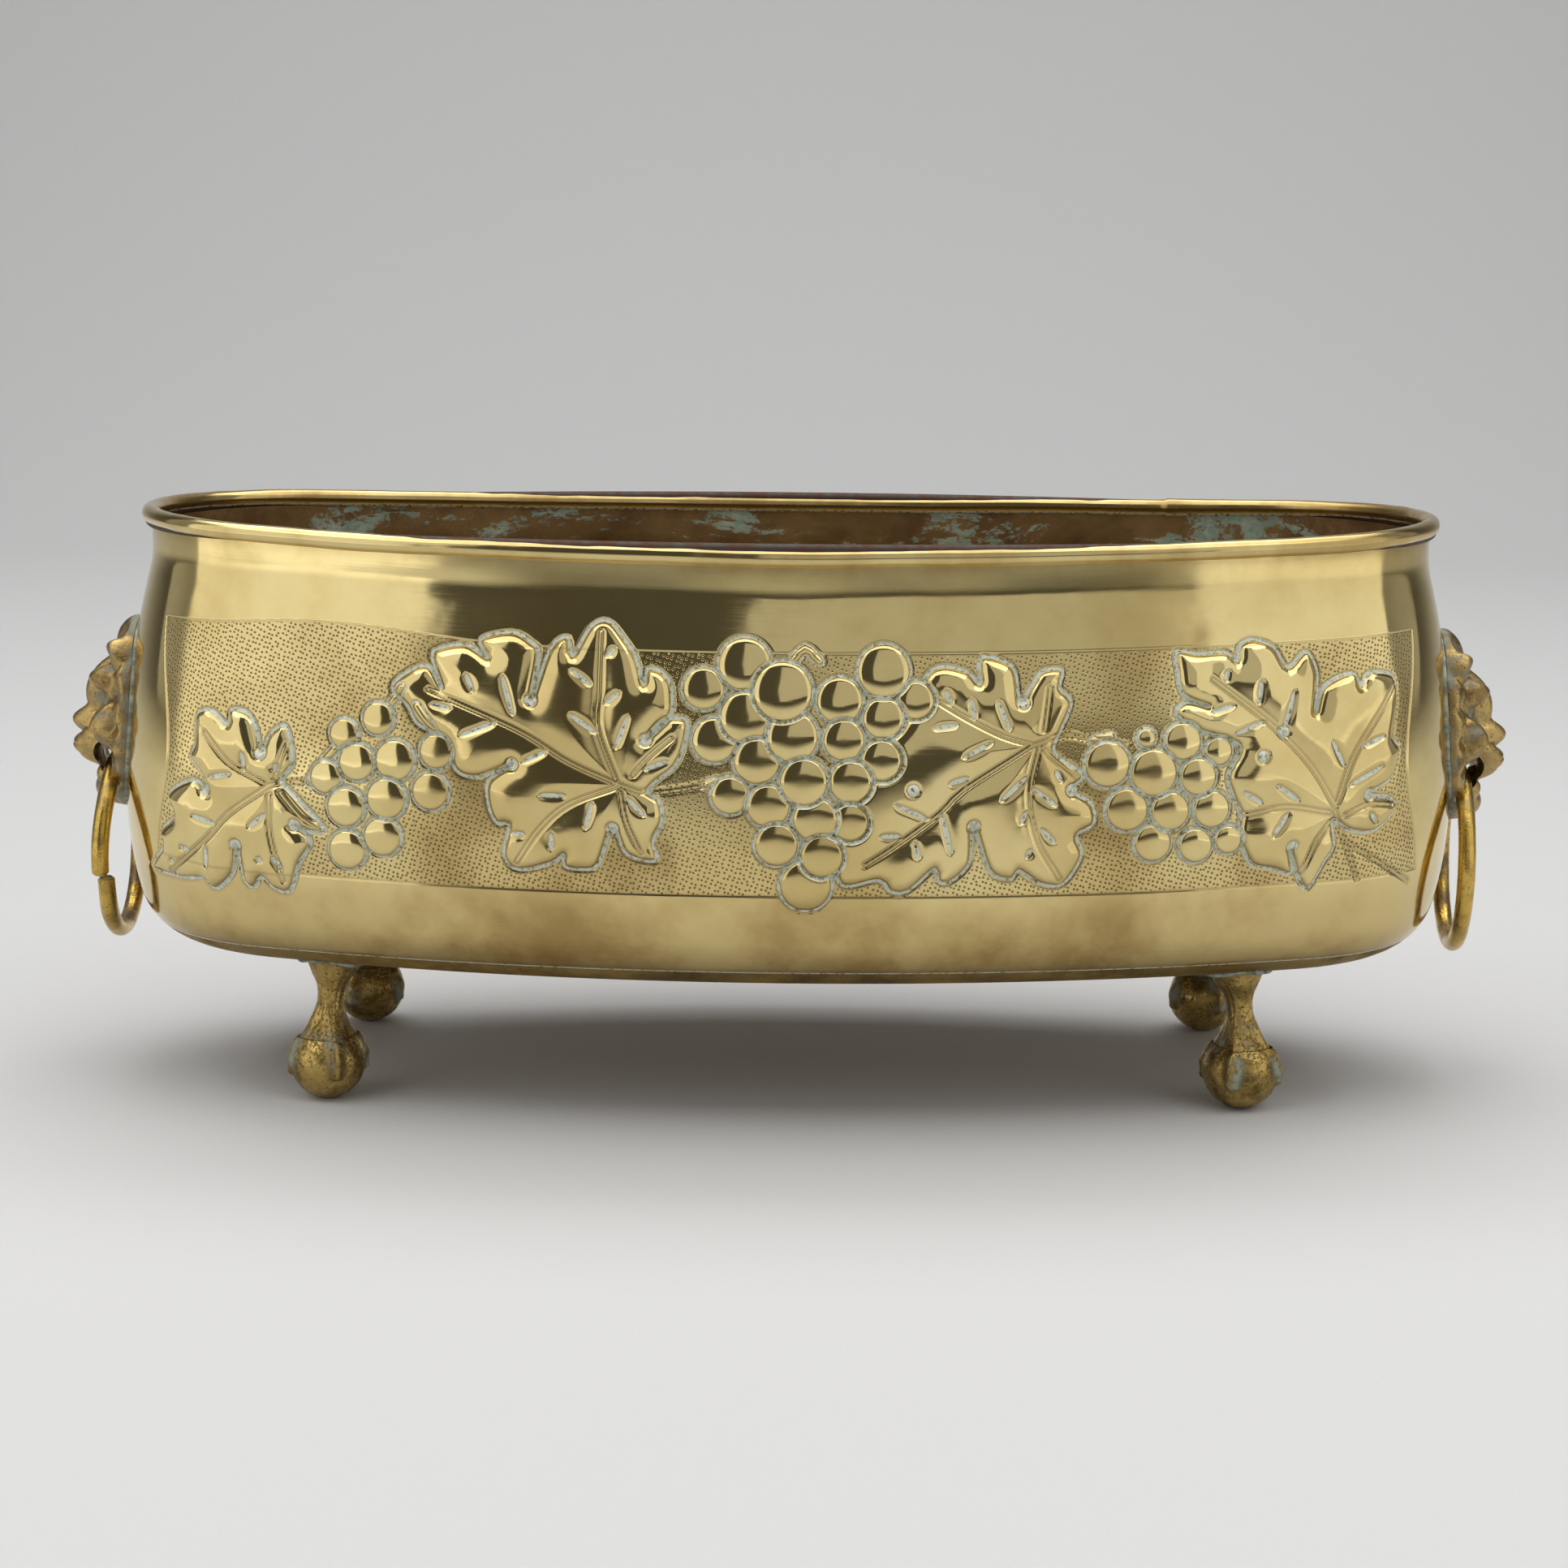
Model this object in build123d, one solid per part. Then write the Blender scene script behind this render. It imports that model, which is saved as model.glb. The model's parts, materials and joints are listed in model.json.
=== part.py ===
"""Oval brass planter pot on four ball-and-claw feet, with a lion mask and a swinging ring at each end.

Frame: +X along the pot's length, +Y to its back, +Z up, with the origin on the floor under its middle.
All sizes are in millimetres.

In plan the pot is a four-arc oval. Every level of the wall is that oval offset outwards by an amount
called s, so the whole body is one upright profile in (s, z), turned about the centres of the four arcs.
"""

import os
from math import acos, asin, atan2, cos, degrees, radians, sin, sqrt

from build123d import *

# Plan oval, measured at the outside of the rim bead (s = 0)
rim_length = 474.0
rim_width = 196.4
end_radius = 71.4

# Upright profile of the outside of the wall
bead_height = 205.0  # centre of the rolled rim above the floor
bead_radius = 3.2
bead_offset = -bead_radius  # s of the bead's centre
full_height = 105.0  # where the pot is fullest
full_offset = 8.4  # s there
flare_radius = 307.0  # from the fullest line up to the neck
belly_radius = 150.0  # from the fullest line down to the corner
corner_radius = 24.0
base_height = 51.0  # underside of the pot above the floor
neck_start = 186.0  # where the flare turns upright under the rim
neck_radius = 30.0

# Sheet, wire and seam
sheet = 1.0
wire_radius = 2.15
seam_angle = 45.0  # of the corner arc, below level, where the wall meets the base pan
seam_lap = 15.0  # degrees of the corner arc by which the pan's lip laps inside the wall
seam_fillet = 1.4

# Feet
foot_x, foot_y = 165.0, 54.0
ball_radius = 13.8
ball_height = 13.4  # a hair under the radius, so each ball has a small flat
claw_turn = 22.0  # degrees from straight ahead to the front claw, towards the end of the pot
claw_radius, claw_stand = 2.3, 1.5  # a claw's own radius, and how far it stands out of the ball
claw_top, claw_tip = 64.0, -14.0  # above level, seen from the ball's centre
solder_thickness = 0.8
pad_grow = 1.12  # the solder shows this much wider than the foot's top
rivet_radius = 2.0
rivet_depth = 11.0

# Lion masks
mask_height, mask_width = 70.0, 57.0
mask_level = 132.0
bed_thickness = 0.8
mask_plate = 2.2
screw_level = 152.0
screw_radius = 2.4
screw_reach = 7.0  # into the mask, beyond its solder bed
screw_head_radius, screw_head_height = 4.6, 2.8
screw_slot = 1.0
hole_clearance = 0.05
washer_radius, washer_thickness = 7.5, 1.4

# Rings
ring_radius = 32.5
ring_wire = 3.3
ring_axis_x, ring_axis_z = 249.5, 115.0
ring_gap = 1.2  # between the butted ends of the bent wire
ring_low, ring_high = -5.0, 110.0  # swing, degrees from hanging
ring_clearance = 0.4
throat_radius, throat_reach = 6.3, 12.0  # the hole through the muzzle, and how far it runs each way

half_length, half_width = rim_length / 2, rim_width / 2
end_centre = half_length - end_radius
side_radius = (end_centre**2 + half_width**2 - end_radius**2) / (2 * (half_width - end_radius))
side_centre = side_radius - half_width
arc_turn = degrees(atan2(side_centre, end_centre))  # half the turn of an end arc

# Centre and turn of each arc of the plan oval: x, y, radius, start angle, arc
OVAL_ARCS = [
    (end_centre, 0, end_radius, -arc_turn, 2 * arc_turn),
    (0, -side_centre, side_radius, arc_turn, 180 - 2 * arc_turn),
    (-end_centre, 0, end_radius, 180 - arc_turn, 2 * arc_turn),
    (0, side_centre, side_radius, 180 + arc_turn, 180 - 2 * arc_turn),
]

corner_height = base_height + corner_radius
belly_turn = asin((full_height - corner_height) / (belly_radius - corner_radius))
corner_offset = full_offset - belly_radius + (belly_radius - corner_radius) * cos(belly_turn)
flare_turn = asin((neck_start - full_height) / flare_radius)


def around(face):
    """Turns a face drawn in (s, z) right round the oval, as one closed band."""
    band = None
    for x, y, radius, start, arc in OVAL_ARCS:
        out = (cos(radians(start)), sin(radians(start)), 0)
        plane = Plane(origin=(x, y, 0), x_dir=out, z_dir=(out[1], -out[0], 0))
        part = revolve(plane * Pos(radius, 0) * face, Axis((x, y, 0), (0, 0, 1)), arc)
        band = part if band is None else band + part
    return band


def arc_about(centre, radius, start, end):
    """An arc in (s, z) about centre, from angle start to end in degrees."""
    points = []
    for angle in (start, (start + end) / 2, end):
        a = radians(angle)
        points.append((centre[0] + radius * cos(a), centre[1] + radius * sin(a)))
    return ThreePointArc(*points)


def flank(inset):
    """The wall's outline from the corner up to the neck, moved inwards by inset, as a list of arcs."""
    belly, corner = degrees(belly_turn), (corner_offset, corner_height)
    flare = degrees(flare_turn)
    neck = (
        full_offset - flare_radius + (flare_radius + neck_radius) * cos(flare_turn),
        full_height + (flare_radius + neck_radius) * sin(flare_turn),
    )
    return corner, [
        arc_about((full_offset - belly_radius, full_height), belly_radius - inset, -belly, 0),
        arc_about((full_offset - flare_radius, full_height), flare_radius - inset, 0, flare),
        arc_about(neck, neck_radius + inset, 180 + flare, 180),
    ]


def outline(edges):
    """A face bounded by edges laid end to start, closed with a straight line where they leave a gap."""
    joined = []
    for edge, following in zip(edges, edges[1:] + edges[:1]):
        joined.append(edge)
        if (edge @ 1 - following @ 0).length > 1e-6:
            joined.append(Line(edge @ 1, following @ 0))
    return make_face(joined)


def backwards(edges):
    """The same arcs in the opposite order and direction."""
    return [ThreePointArc(e @ 1, e @ 0.5, e @ 0) for e in reversed(edges)]


def filled_band(grow=0.0):
    """Everything within 60 mm inside the pot's outer surface, moved outwards by grow."""
    corner, sides = flank(-grow)
    turn = arc_about(corner, corner_radius + grow, -90, -degrees(belly_turn))
    edges = [turn] + sides
    top, bottom = edges[-1] @ 1, edges[0] @ 0
    inner = -60.0
    rest = [
        Line(top, (top.X, bead_height)),
        Line((top.X, bead_height), (inner, bead_height)),
        Line((inner, bead_height), (inner, bottom.Y)),
    ]
    return around(outline(edges + rest))


def body_wall():
    """The side sheet, from the seam above the base to the rim, with its edge rolled round the wire."""
    corner, outer = flank(0)
    _, inner = flank(sheet)
    turn, belly = -seam_angle, -degrees(belly_turn)
    outer = [arc_about(corner, corner_radius, turn, belly)] + outer
    inner = [arc_about(corner, corner_radius - sheet, turn, belly)] + inner
    top = outer[-1] @ 1
    into_bead = bead_height - bead_radius + 0.4 * sheet
    rise = [
        Line(top, (top.X, into_bead)),
        Line((top.X, into_bead), (top.X - sheet, into_bead)),
        Line((top.X - sheet, into_bead), inner[-1] @ 1),
    ]
    section = outline(outer + rise + backwards(inner))
    bead = Pos(bead_offset, bead_height) * (Circle(bead_radius) - Circle(wire_radius + 0.05))
    return around(section + bead)


def rim_wire():
    """The iron wire inside the rolled rim."""
    return around(Pos(bead_offset, bead_height) * Circle(wire_radius))


def oval_face(s, z):
    """A flat face with the plan oval's outline at offset s."""
    edges = []
    for x, y, radius, start, arc in OVAL_ARCS:
        at = [radians(start + arc * share) for share in (0, 0.5, 1)]
        edges.append(ThreePointArc(*[(x + (radius + s) * cos(a), y + (radius + s) * sin(a), z) for a in at]))
    return make_face(edges)


def base_pan():
    """The bottom: a flat oval with a turned-up edge, whose lip laps inside the wall."""
    corner = (corner_offset, corner_height)
    lip = -seam_angle + seam_lap
    step = [corner_radius, corner_radius - sheet, corner_radius - 2 * sheet]
    edge = outline(
        [
            arc_about(corner, step[0], -90, -seam_angle),
            arc_about(corner, step[1], -seam_angle, lip),
            arc_about(corner, step[2], lip, -seam_angle - 6),
            arc_about(corner, step[1], -seam_angle - 6, -90),
        ]
    )
    floor = extrude(oval_face(corner_offset, base_height), sheet, dir=(0, 0, 1))
    pan = floor + around(edge)
    for x, y, turn in foot_places():
        pan -= Pos(x, y, base_height) * Cylinder(rivet_radius + hole_clearance, 6 * sheet)
    return pan


def base_seam_solder():
    """A run of soft solder along the top edge of the pan's lip, inside the pot."""
    corner = (corner_offset, corner_height)
    lip = -seam_angle + seam_lap
    outer, inner = corner_radius - sheet, corner_radius - 2 * sheet
    run = degrees(seam_fillet / outer)
    start = arc_about(corner, outer, lip, lip + run)
    return around(outline([start, Line(start @ 1, arc_about(corner, inner, lip, lip + run) @ 0)]))


def foot_places():
    """Where each foot's ball stands: x, y and the direction its front claw points in."""
    return [(sx * foot_x, sy * foot_y, sy * (90 - sx * claw_turn)) for sy in (-1, 1) for sx in (-1, 1)]


def leg(grow=1.0):
    """The leg of a foot, from inside the ball, through the narrow ankle, to its spread top. Its ball is at
    the origin in plan and the pot's middle lies towards +Y."""
    levels = [(19, 0, 9.5, 9.5), (35, -0.5, 4.6, 5.0), (46, -2.0, 7.0, 8.5), (66, -5.5, 15.0, 17.5)]
    sections = []
    for z, y, rx, ry in levels:
        sections.append(Pos(0, y, z) * Ellipse(rx * grow, ry * grow))
    return loft(sections)


def claw(angle):
    """One claw lying down the side of the ball, on an arc about the ball's centre."""
    centre = Vector(0, 0, ball_height)
    ahead = Vector(1, 0, 0).rotate(Axis.Z, angle)
    across = Vector(0, 1, 0).rotate(Axis.Z, angle)
    start = ahead.rotate(Axis((0, 0, 0), across), -claw_top)
    section = Plane(origin=centre, x_dir=start, z_dir=start.cross(across))
    bar = section * Pos(ball_radius + claw_stand - claw_radius, 0) * Circle(claw_radius)
    return revolve(bar, Axis(centre, across), claw_top - claw_tip)


def foot(x, y, turn, body):
    """One cast ball-and-claw foot, cut to the pot's underside with room for the solder."""
    solid = Pos(0, 0, ball_height) * Sphere(ball_radius) + Rot(0, 0, 180 if y > 0 else 0) * leg()
    for step in range(4):
        solid += claw(turn + step * 90)
    solid -= Pos(0, 0, -10) * Box(100, 100, 20)
    solid = Pos(x, y, 0) * solid - body
    hole = base_height - rivet_depth
    return solid - Pos(x, y, hole) * Cylinder(rivet_radius, 30, align=(Align.CENTER, Align.CENTER, Align.MIN))


def foot_solder(x, y, body, body_out):
    """The run of solder between a foot's top and the pot, a little wider than the foot."""
    spread = Pos(x, y, 0) * Rot(0, 0, 180 if y > 0 else 0) * leg(pad_grow)
    run = (spread & body_out) - body
    return run - Pos(x, y, base_height) * Cylinder(rivet_radius, 30)


def foot_rivet(x, y):
    """A brass rivet through the pan into the foot, its end filed flush with the pan's floor."""
    shank = Cylinder(rivet_radius, rivet_depth + sheet, align=(Align.CENTER, Align.CENTER, Align.MIN))
    return Pos(x, y, base_height - rivet_depth) * shank


def at_right_end(shape, side):
    """A shape made for the right-hand end, or its mirror image for the left-hand end."""
    return shape if side > 0 else mirror(shape, Plane.YZ)


def mask_footprint(grow=0.0):
    """The mask's outline seen along X, as a long block through the pot's end."""
    outline_2d = Ellipse((mask_width / 2) + grow, (mask_height / 2) + grow)
    plane = Plane(origin=(200, 0, mask_level), x_dir=(0, 1, 0), z_dir=(1, 0, 0))
    return extrude(plane * outline_2d, 80)


def hollow():
    """The open back of the mask, behind the lion's face."""
    return Pos(240, 0, 129) * scale(Sphere(1), (17, 17, 17))


def ring_path():
    """What the ring sweeps at the mask, with clearance: shapes to cut away one after another."""
    axis = Axis((ring_axis_x, 0, ring_axis_z), (0, -1, 0))
    thick = ring_wire + ring_clearance
    hanging = Plane(origin=(ring_axis_x, 0, ring_axis_z), x_dir=(0, 1, 0), z_dir=(1, 0, 0))
    throat = Pos(ring_axis_x, 0, ring_axis_z) * Rot(90, 0, 0) * Cylinder(throat_radius, 2 * throat_reach)
    half_ring = Pos(0, -ring_radius) * (Circle(ring_radius + thick) - Circle(ring_radius - thick))
    half_ring &= Pos(0, -ring_radius) * Rectangle(3 * ring_radius, 2 * ring_radius)
    swept = revolve(hanging * half_ring, axis, ring_high - ring_low).rotate(axis, ring_low)
    hoop = Pos(ring_axis_x, 0, ring_axis_z - ring_radius) * Rot(0, 90, 0) * Torus(ring_radius, thick + 0.1)
    return [throat, swept] + [hoop.rotate(axis, angle) for angle in (ring_low, 0, ring_high)]


def lion_face():
    """A plain lion's face as a few rounded masses: skull, brows, nose, muzzle, cheeks, chin and ears."""
    masses = [
        ((245, 0, 137), (12, 20, 23)),
        ((255.5, 0, 130), (12, 6.5, 9.5)),
        ((254, 0, 107.5), (6.5, 7.5, 6.5)),
    ]
    for side in (-1, 1):
        masses += [
            ((256, side * 5.5, 123.5), (8.5, 7.0, 6.5)),
            ((254, side * 9.0, 143.5), (6.5, 6.5, 5.5)),
            ((248, side * 17.0, 128), (7.0, 6.5, 9.0)),
            ((245, side * 18.5, 156), (5.5, 5.0, 6.0)),
        ]
    face = None
    for centre, size in masses:
        mass = Pos(*centre) * scale(Sphere(1), size)
        face = mass if face is None else face + mass
    return face


def inside_of_wall():
    """X of the wall's inner surface at the level of the mask's screw."""
    rise = screw_level - full_height
    return half_length + full_offset - flare_radius + sqrt((flare_radius - sheet) ** 2 - rise**2)


def along_screw(start, end, radius):
    """A round bar along the mask's screw, between two depths in X."""
    bar = Cylinder(radius, end - start, align=(Align.CENTER, Align.CENTER, Align.MIN))
    return Location((start, 0, screw_level), (0, 90, 0)) * bar


def mask_screw():
    """The slotted screw, put in from inside the pot and tapped into the back of the mask."""
    seat = inside_of_wall() - washer_thickness
    shank = along_screw(seat, inside_of_wall() + sheet + bed_thickness + screw_reach, screw_radius)
    dome = scale(Sphere(1), (screw_head_height, screw_head_radius, screw_head_radius))
    head = Pos(seat, 0, screw_level) * dome
    head &= along_screw(seat - 10, seat, 2 * screw_head_radius)
    slot = Pos(seat - screw_head_height, 0, screw_level) * Box(screw_head_height, 20, screw_slot)
    return shank + (head - slot)


def mask_washer(inside):
    """The soft washer under the screw's head, pressed to the curve of the wall."""
    disc = along_screw(inside_of_wall() - washer_thickness, inside_of_wall() + 5, washer_radius)
    return (disc & inside) - screw_hole()


def screw_hole():
    """Room for the screw through the wall, the bed and the washer."""
    return along_screw(200, 300, screw_radius + hole_clearance)


def ring(turn):
    """The right-hand ring: one bent wire whose butted ends are turned round to the angle turn."""
    wire = Pos(0, ring_radius) * Circle(ring_wire)
    hoop = revolve(wire, Axis.X, 360 - degrees(ring_gap / ring_radius))
    return Pos(ring_axis_x, 0, ring_axis_z - ring_radius) * Rot(turn, 0, 0) * hoop


def main():
    os.makedirs("parts", exist_ok=True)
    parts = {}
    body, body_out = filled_band(), filled_band(solder_thickness)
    bed_out, plate_out = filled_band(bed_thickness), filled_band(bed_thickness + mask_plate)

    wall = body_wall() - screw_hole()
    parts["body_wall"] = wall - mirror(screw_hole(), Plane.YZ)
    parts["rim_wire"] = rim_wire()
    parts["base_pan"] = base_pan()
    parts["base_seam_solder"] = base_seam_solder()

    names = ("front_left", "front_right", "rear_left", "rear_right")
    for (x, y, turn), name in zip(foot_places(), names):
        parts["foot_" + name] = foot(x, y, turn, body_out)
        parts["foot_solder_" + name] = foot_solder(x, y, body, body_out)
        parts["foot_rivet_" + name] = foot_rivet(x, y)

    mask = (mask_footprint() & plate_out) + lion_face() - bed_out - hollow()
    bed = (mask_footprint(0.6) & bed_out) - body - hollow()
    for swept in ring_path():
        mask -= swept
        bed -= swept
    mask = mask.solids().sort_by(SortBy.VOLUME)[-1]  # without the bit left standing in the ring's path
    screw, washer = mask_screw(), mask_washer(filled_band(-sheet))
    for side, name, turn in ((-1, "left", 192), (1, "right", 20)):
        parts["lion_mask_" + name] = at_right_end(mask - screw, side)
        parts["mask_bed_" + name] = at_right_end(bed - screw_hole(), side)
        parts["mask_screw_" + name] = at_right_end(screw, side)
        parts["mask_washer_" + name] = at_right_end(washer, side)
        parts["ring_" + name] = at_right_end(ring(turn), side)

    for name, shape in parts.items():
        export_step(shape, os.path.join("parts", name + ".step"))


main()
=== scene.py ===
"""The looks of an oval embossed brass planter: chased wall, rolled rim, lion masks, rings and clawed feet.

Lengths in this file are millimetres until a mesh is made, which is in metres. A place on the wall is given
by u, the way round the pot at its fullest line, from the middle of the front towards +X, and by v, its
height, which below the belly goes on down the turned corner.
"""

import json
import math

import bpy
import numpy as np
from mathutils import Matrix, Vector

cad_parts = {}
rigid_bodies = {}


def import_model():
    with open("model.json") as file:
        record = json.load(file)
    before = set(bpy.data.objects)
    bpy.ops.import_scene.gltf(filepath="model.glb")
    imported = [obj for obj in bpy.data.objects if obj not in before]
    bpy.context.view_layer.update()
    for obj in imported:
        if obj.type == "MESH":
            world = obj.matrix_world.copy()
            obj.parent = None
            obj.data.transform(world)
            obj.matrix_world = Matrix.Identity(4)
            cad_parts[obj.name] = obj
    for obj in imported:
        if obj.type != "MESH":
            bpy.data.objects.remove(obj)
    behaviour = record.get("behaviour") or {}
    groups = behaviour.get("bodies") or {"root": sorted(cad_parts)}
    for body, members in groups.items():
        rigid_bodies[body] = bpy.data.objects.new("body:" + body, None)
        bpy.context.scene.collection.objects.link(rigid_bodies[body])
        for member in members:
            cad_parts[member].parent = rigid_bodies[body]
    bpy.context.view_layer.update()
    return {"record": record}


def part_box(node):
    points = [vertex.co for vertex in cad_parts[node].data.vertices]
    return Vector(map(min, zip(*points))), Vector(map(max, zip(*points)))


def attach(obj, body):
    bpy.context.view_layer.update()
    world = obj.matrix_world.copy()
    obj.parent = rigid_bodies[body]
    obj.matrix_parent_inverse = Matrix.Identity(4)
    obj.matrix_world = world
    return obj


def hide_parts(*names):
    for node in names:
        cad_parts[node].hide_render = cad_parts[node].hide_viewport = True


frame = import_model()
scene = bpy.context.scene

MM = 0.001
TURN = 2 * math.pi

# ---------------------------------------------------------------- the pot's outline, as the frame has it
FULL_HEIGHT, FULL_OFFSET = 105.0, 8.4  # the fullest line, and how far it stands out past the rim
FLARE, BELLY, CORNER = 307.0, 150.0, 24.0  # radii of the upright profile, from the top down
BASE_HEIGHT = 51.0
NECK_START, NECK = 186.0, 30.0
END_RADIUS = 71.4
SHEET = 1.0
BEAD = 3.2

wall_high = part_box("body_wall")[1]
HALF_LENGTH = wall_high.x / MM - FULL_OFFSET
HALF_WIDTH = wall_high.y / MM - FULL_OFFSET
RIM_HEIGHT = wall_high.z / MM - BEAD
END_CENTRE = HALF_LENGTH - END_RADIUS
SIDE_RADIUS = (END_CENTRE**2 + HALF_WIDTH**2 - END_RADIUS**2) / (2 * (HALF_WIDTH - END_RADIUS))
SIDE_CENTRE = SIDE_RADIUS - HALF_WIDTH
END_HALF_TURN = math.atan2(SIDE_CENTRE, END_CENTRE)

SIDE_RUN = (math.pi - 2 * END_HALF_TURN) * (SIDE_RADIUS + FULL_OFFSET)
END_RUN = 2 * END_HALF_TURN * (END_RADIUS + FULL_OFFSET)
GIRTH = 2 * (SIDE_RUN + END_RUN)
RIGHT_END = GIRTH / 4

CORNER_HEIGHT = BASE_HEIGHT + CORNER
BELLY_TURN = math.asin((FULL_HEIGHT - CORNER_HEIGHT) / (BELLY - CORNER))
CORNER_OFFSET = FULL_OFFSET - BELLY + (BELLY - CORNER) * math.cos(BELLY_TURN)
BELLY_END = FULL_HEIGHT - BELLY * math.sin(BELLY_TURN)
FLARE_TURN = math.asin((NECK_START - FULL_HEIGHT) / FLARE)
NECK_OFFSET = FULL_OFFSET - FLARE + (FLARE + NECK) * math.cos(FLARE_TURN)
NECK_TOP = FULL_HEIGHT + (FLARE + NECK) * math.sin(FLARE_TURN)
SEAM = BELLY_END - CORNER * (math.radians(45) - BELLY_TURN)  # v where the wall meets the base pan
WALL_TOP = RIM_HEIGHT - BEAD + 0.4 * SHEET

# Hand work has pulled the rim down in the middle by RIM_DIP, and from there up by RIM_RISE to the ends. The
# wall goes with it, less and less down to PULL_START.
RIM_DIP, RIM_RISE, PULL_START = 2.6, 5.3, 60.0

# The chased band
BAND_LOW, BAND_HIGH = 88.0, 172.0
RESERVE = 228.0  # u where the plain ground round each mask begins, at its widest
DEEP_LOW, DEEP_HIGH = 84.0, 184.0  # v between which the grid is fine enough for the chasing
FINE, COARSE = 0.45, 1.1

hinges = {joint["child"]: joint for joint in frame["record"]["behaviour"]["joints"]}
RING_X = hinges["ring_right"]["pos_m"][0] / MM
RING_Z = hinges["ring_right"]["pos_m"][2] / MM
RING_RADIUS, RING_WIRE = 32.5, 3.3


# ---------------------------------------------------------------- plan and profile


def ease(x):
    """Runs from 0 to 1 as x does, with no slope or bend at either end: 6x^5 - 15x^4 + 10x^3."""
    x = np.clip(x, 0.0, 1.0)
    return x**3 * (x * (6 * x - 15) + 10)


def plan(u, s):
    """The point of the plan oval at u, moved out by s, and its outward direction: x, y, nx, ny.
    The oval is four arcs. On each, the angle is the run along it over its radius at the fullest line."""
    u = np.mod(u, GIRTH)
    edges = np.array([SIDE_RUN / 2, SIDE_RUN / 2 + END_RUN, 1.5 * SIDE_RUN + END_RUN, GIRTH - SIDE_RUN / 2])
    arc = np.searchsorted(edges, u)
    centre_x = np.array([0, END_CENTRE, 0, -END_CENTRE, 0])[arc]
    centre_y = np.array([SIDE_CENTRE, 0, -SIDE_CENTRE, 0, SIDE_CENTRE])[arc]
    radius = np.array([SIDE_RADIUS, END_RADIUS, SIDE_RADIUS, END_RADIUS, SIDE_RADIUS])[arc]
    start_u = np.array([0, edges[0], edges[1], edges[2], GIRTH])[arc]
    quarter = math.pi / 2
    start = np.array([-quarter, -END_HALF_TURN, END_HALF_TURN, math.pi - END_HALF_TURN, -quarter])[arc]
    angle = start + (u - start_u) / (radius + FULL_OFFSET)
    nx, ny = np.cos(angle), np.sin(angle)
    return centre_x + (radius + s) * nx, centre_y + (radius + s) * ny, nx, ny


def profile(v):
    """The wall's outline at v: offset s, height z, and the outward direction's share along s and z.
    From the top down it is the neck's arc, the flare's arc, the belly's arc and the corner's arc."""
    rise = np.clip((NECK_TOP - v) / NECK, 0, 1)
    lean = np.where(v > NECK_START, np.arcsin(rise), np.arcsin(np.clip((v - FULL_HEIGHT) / FLARE, -1, 1)))
    flare_s = FULL_OFFSET - FLARE + FLARE * np.cos(lean)
    neck_s = NECK_OFFSET - NECK * np.cos(lean)
    drop = np.arcsin(np.clip((FULL_HEIGHT - v) / BELLY, -1, 1))
    belly_s = FULL_OFFSET - BELLY + BELLY * np.cos(drop)
    fall = BELLY_TURN + (BELLY_END - v) / CORNER
    corner_s = CORNER_OFFSET + CORNER * np.cos(fall)
    up, low = v > FULL_HEIGHT, v < BELLY_END
    s = np.where(v > NECK_START, neck_s, np.where(up, flare_s, np.where(low, corner_s, belly_s)))
    z = np.where(low, CORNER_HEIGHT - CORNER * np.sin(fall), v)
    tilt = np.where(up, lean, np.where(low, -fall, -drop))
    return s, z, np.cos(tilt), np.sin(tilt)


def saddle(x, v):
    """How far the pulled rim moves a point up: most at the rim, nothing near the base, a parabola along
    x."""
    share = np.clip((v - PULL_START) / (RIM_HEIGHT - PULL_START), 0, 1)
    return share * (RIM_RISE * (x / HALF_LENGTH) ** 2 - RIM_DIP)


def on_wall(u, v, height):
    """The point of the wall at u, v, raised by height along the outward direction, as (..., 3)."""
    s, z, out, up = profile(v)
    x, y, nx, ny = plan(u, s)
    z = z + saddle(x, v)
    return np.stack([x + height * out * nx, y + height * out * ny, z + height * up], -1)


def underside(x, y):
    """Height of the pot's outer surface above the point x, y of the floor, near the base: flat, then the
    corner."""
    x, y = np.abs(x), np.abs(y)
    at_end = np.arctan2(y, x - END_CENTRE) < END_HALF_TURN
    end_s = np.hypot(x - END_CENTRE, y) - END_RADIUS
    side_s = np.hypot(x, y + SIDE_CENTRE) - SIDE_RADIUS
    across = np.clip(np.where(at_end, end_s, side_s) - CORNER_OFFSET, 0, CORNER * math.cos(BELLY_TURN))
    return CORNER_HEIGHT - np.sqrt(CORNER**2 - across**2)


def lumps(u, v, size, seed, around=GIRTH):
    """A smooth random field, about -1 to 1, with lumps of this size, which joins up after a run of around
    in u. Random values stand on a square lattice and are blended between neighbours with ease()."""
    columns = max(3, round(around / size))
    rows = int(300 / size) + 4
    lattice = np.random.default_rng(seed).uniform(-1, 1, (columns, rows))
    x = np.mod(np.asarray(u) / around, 1.0) * columns
    y = np.clip(np.asarray(v) / size + 1, 0, rows - 2)
    i, j = np.floor(x).astype(int), np.floor(y).astype(int)
    fx, fy = ease(x - i), ease(y - j)
    i, i2 = i % columns, (i + 1) % columns
    low = lattice[i, j] * (1 - fx) + lattice[i2, j] * fx
    high = lattice[i, j + 1] * (1 - fx) + lattice[i2, j + 1] * fx
    return low * (1 - fy) + high * fy


# ---------------------------------------------------------------- meshes


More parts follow.
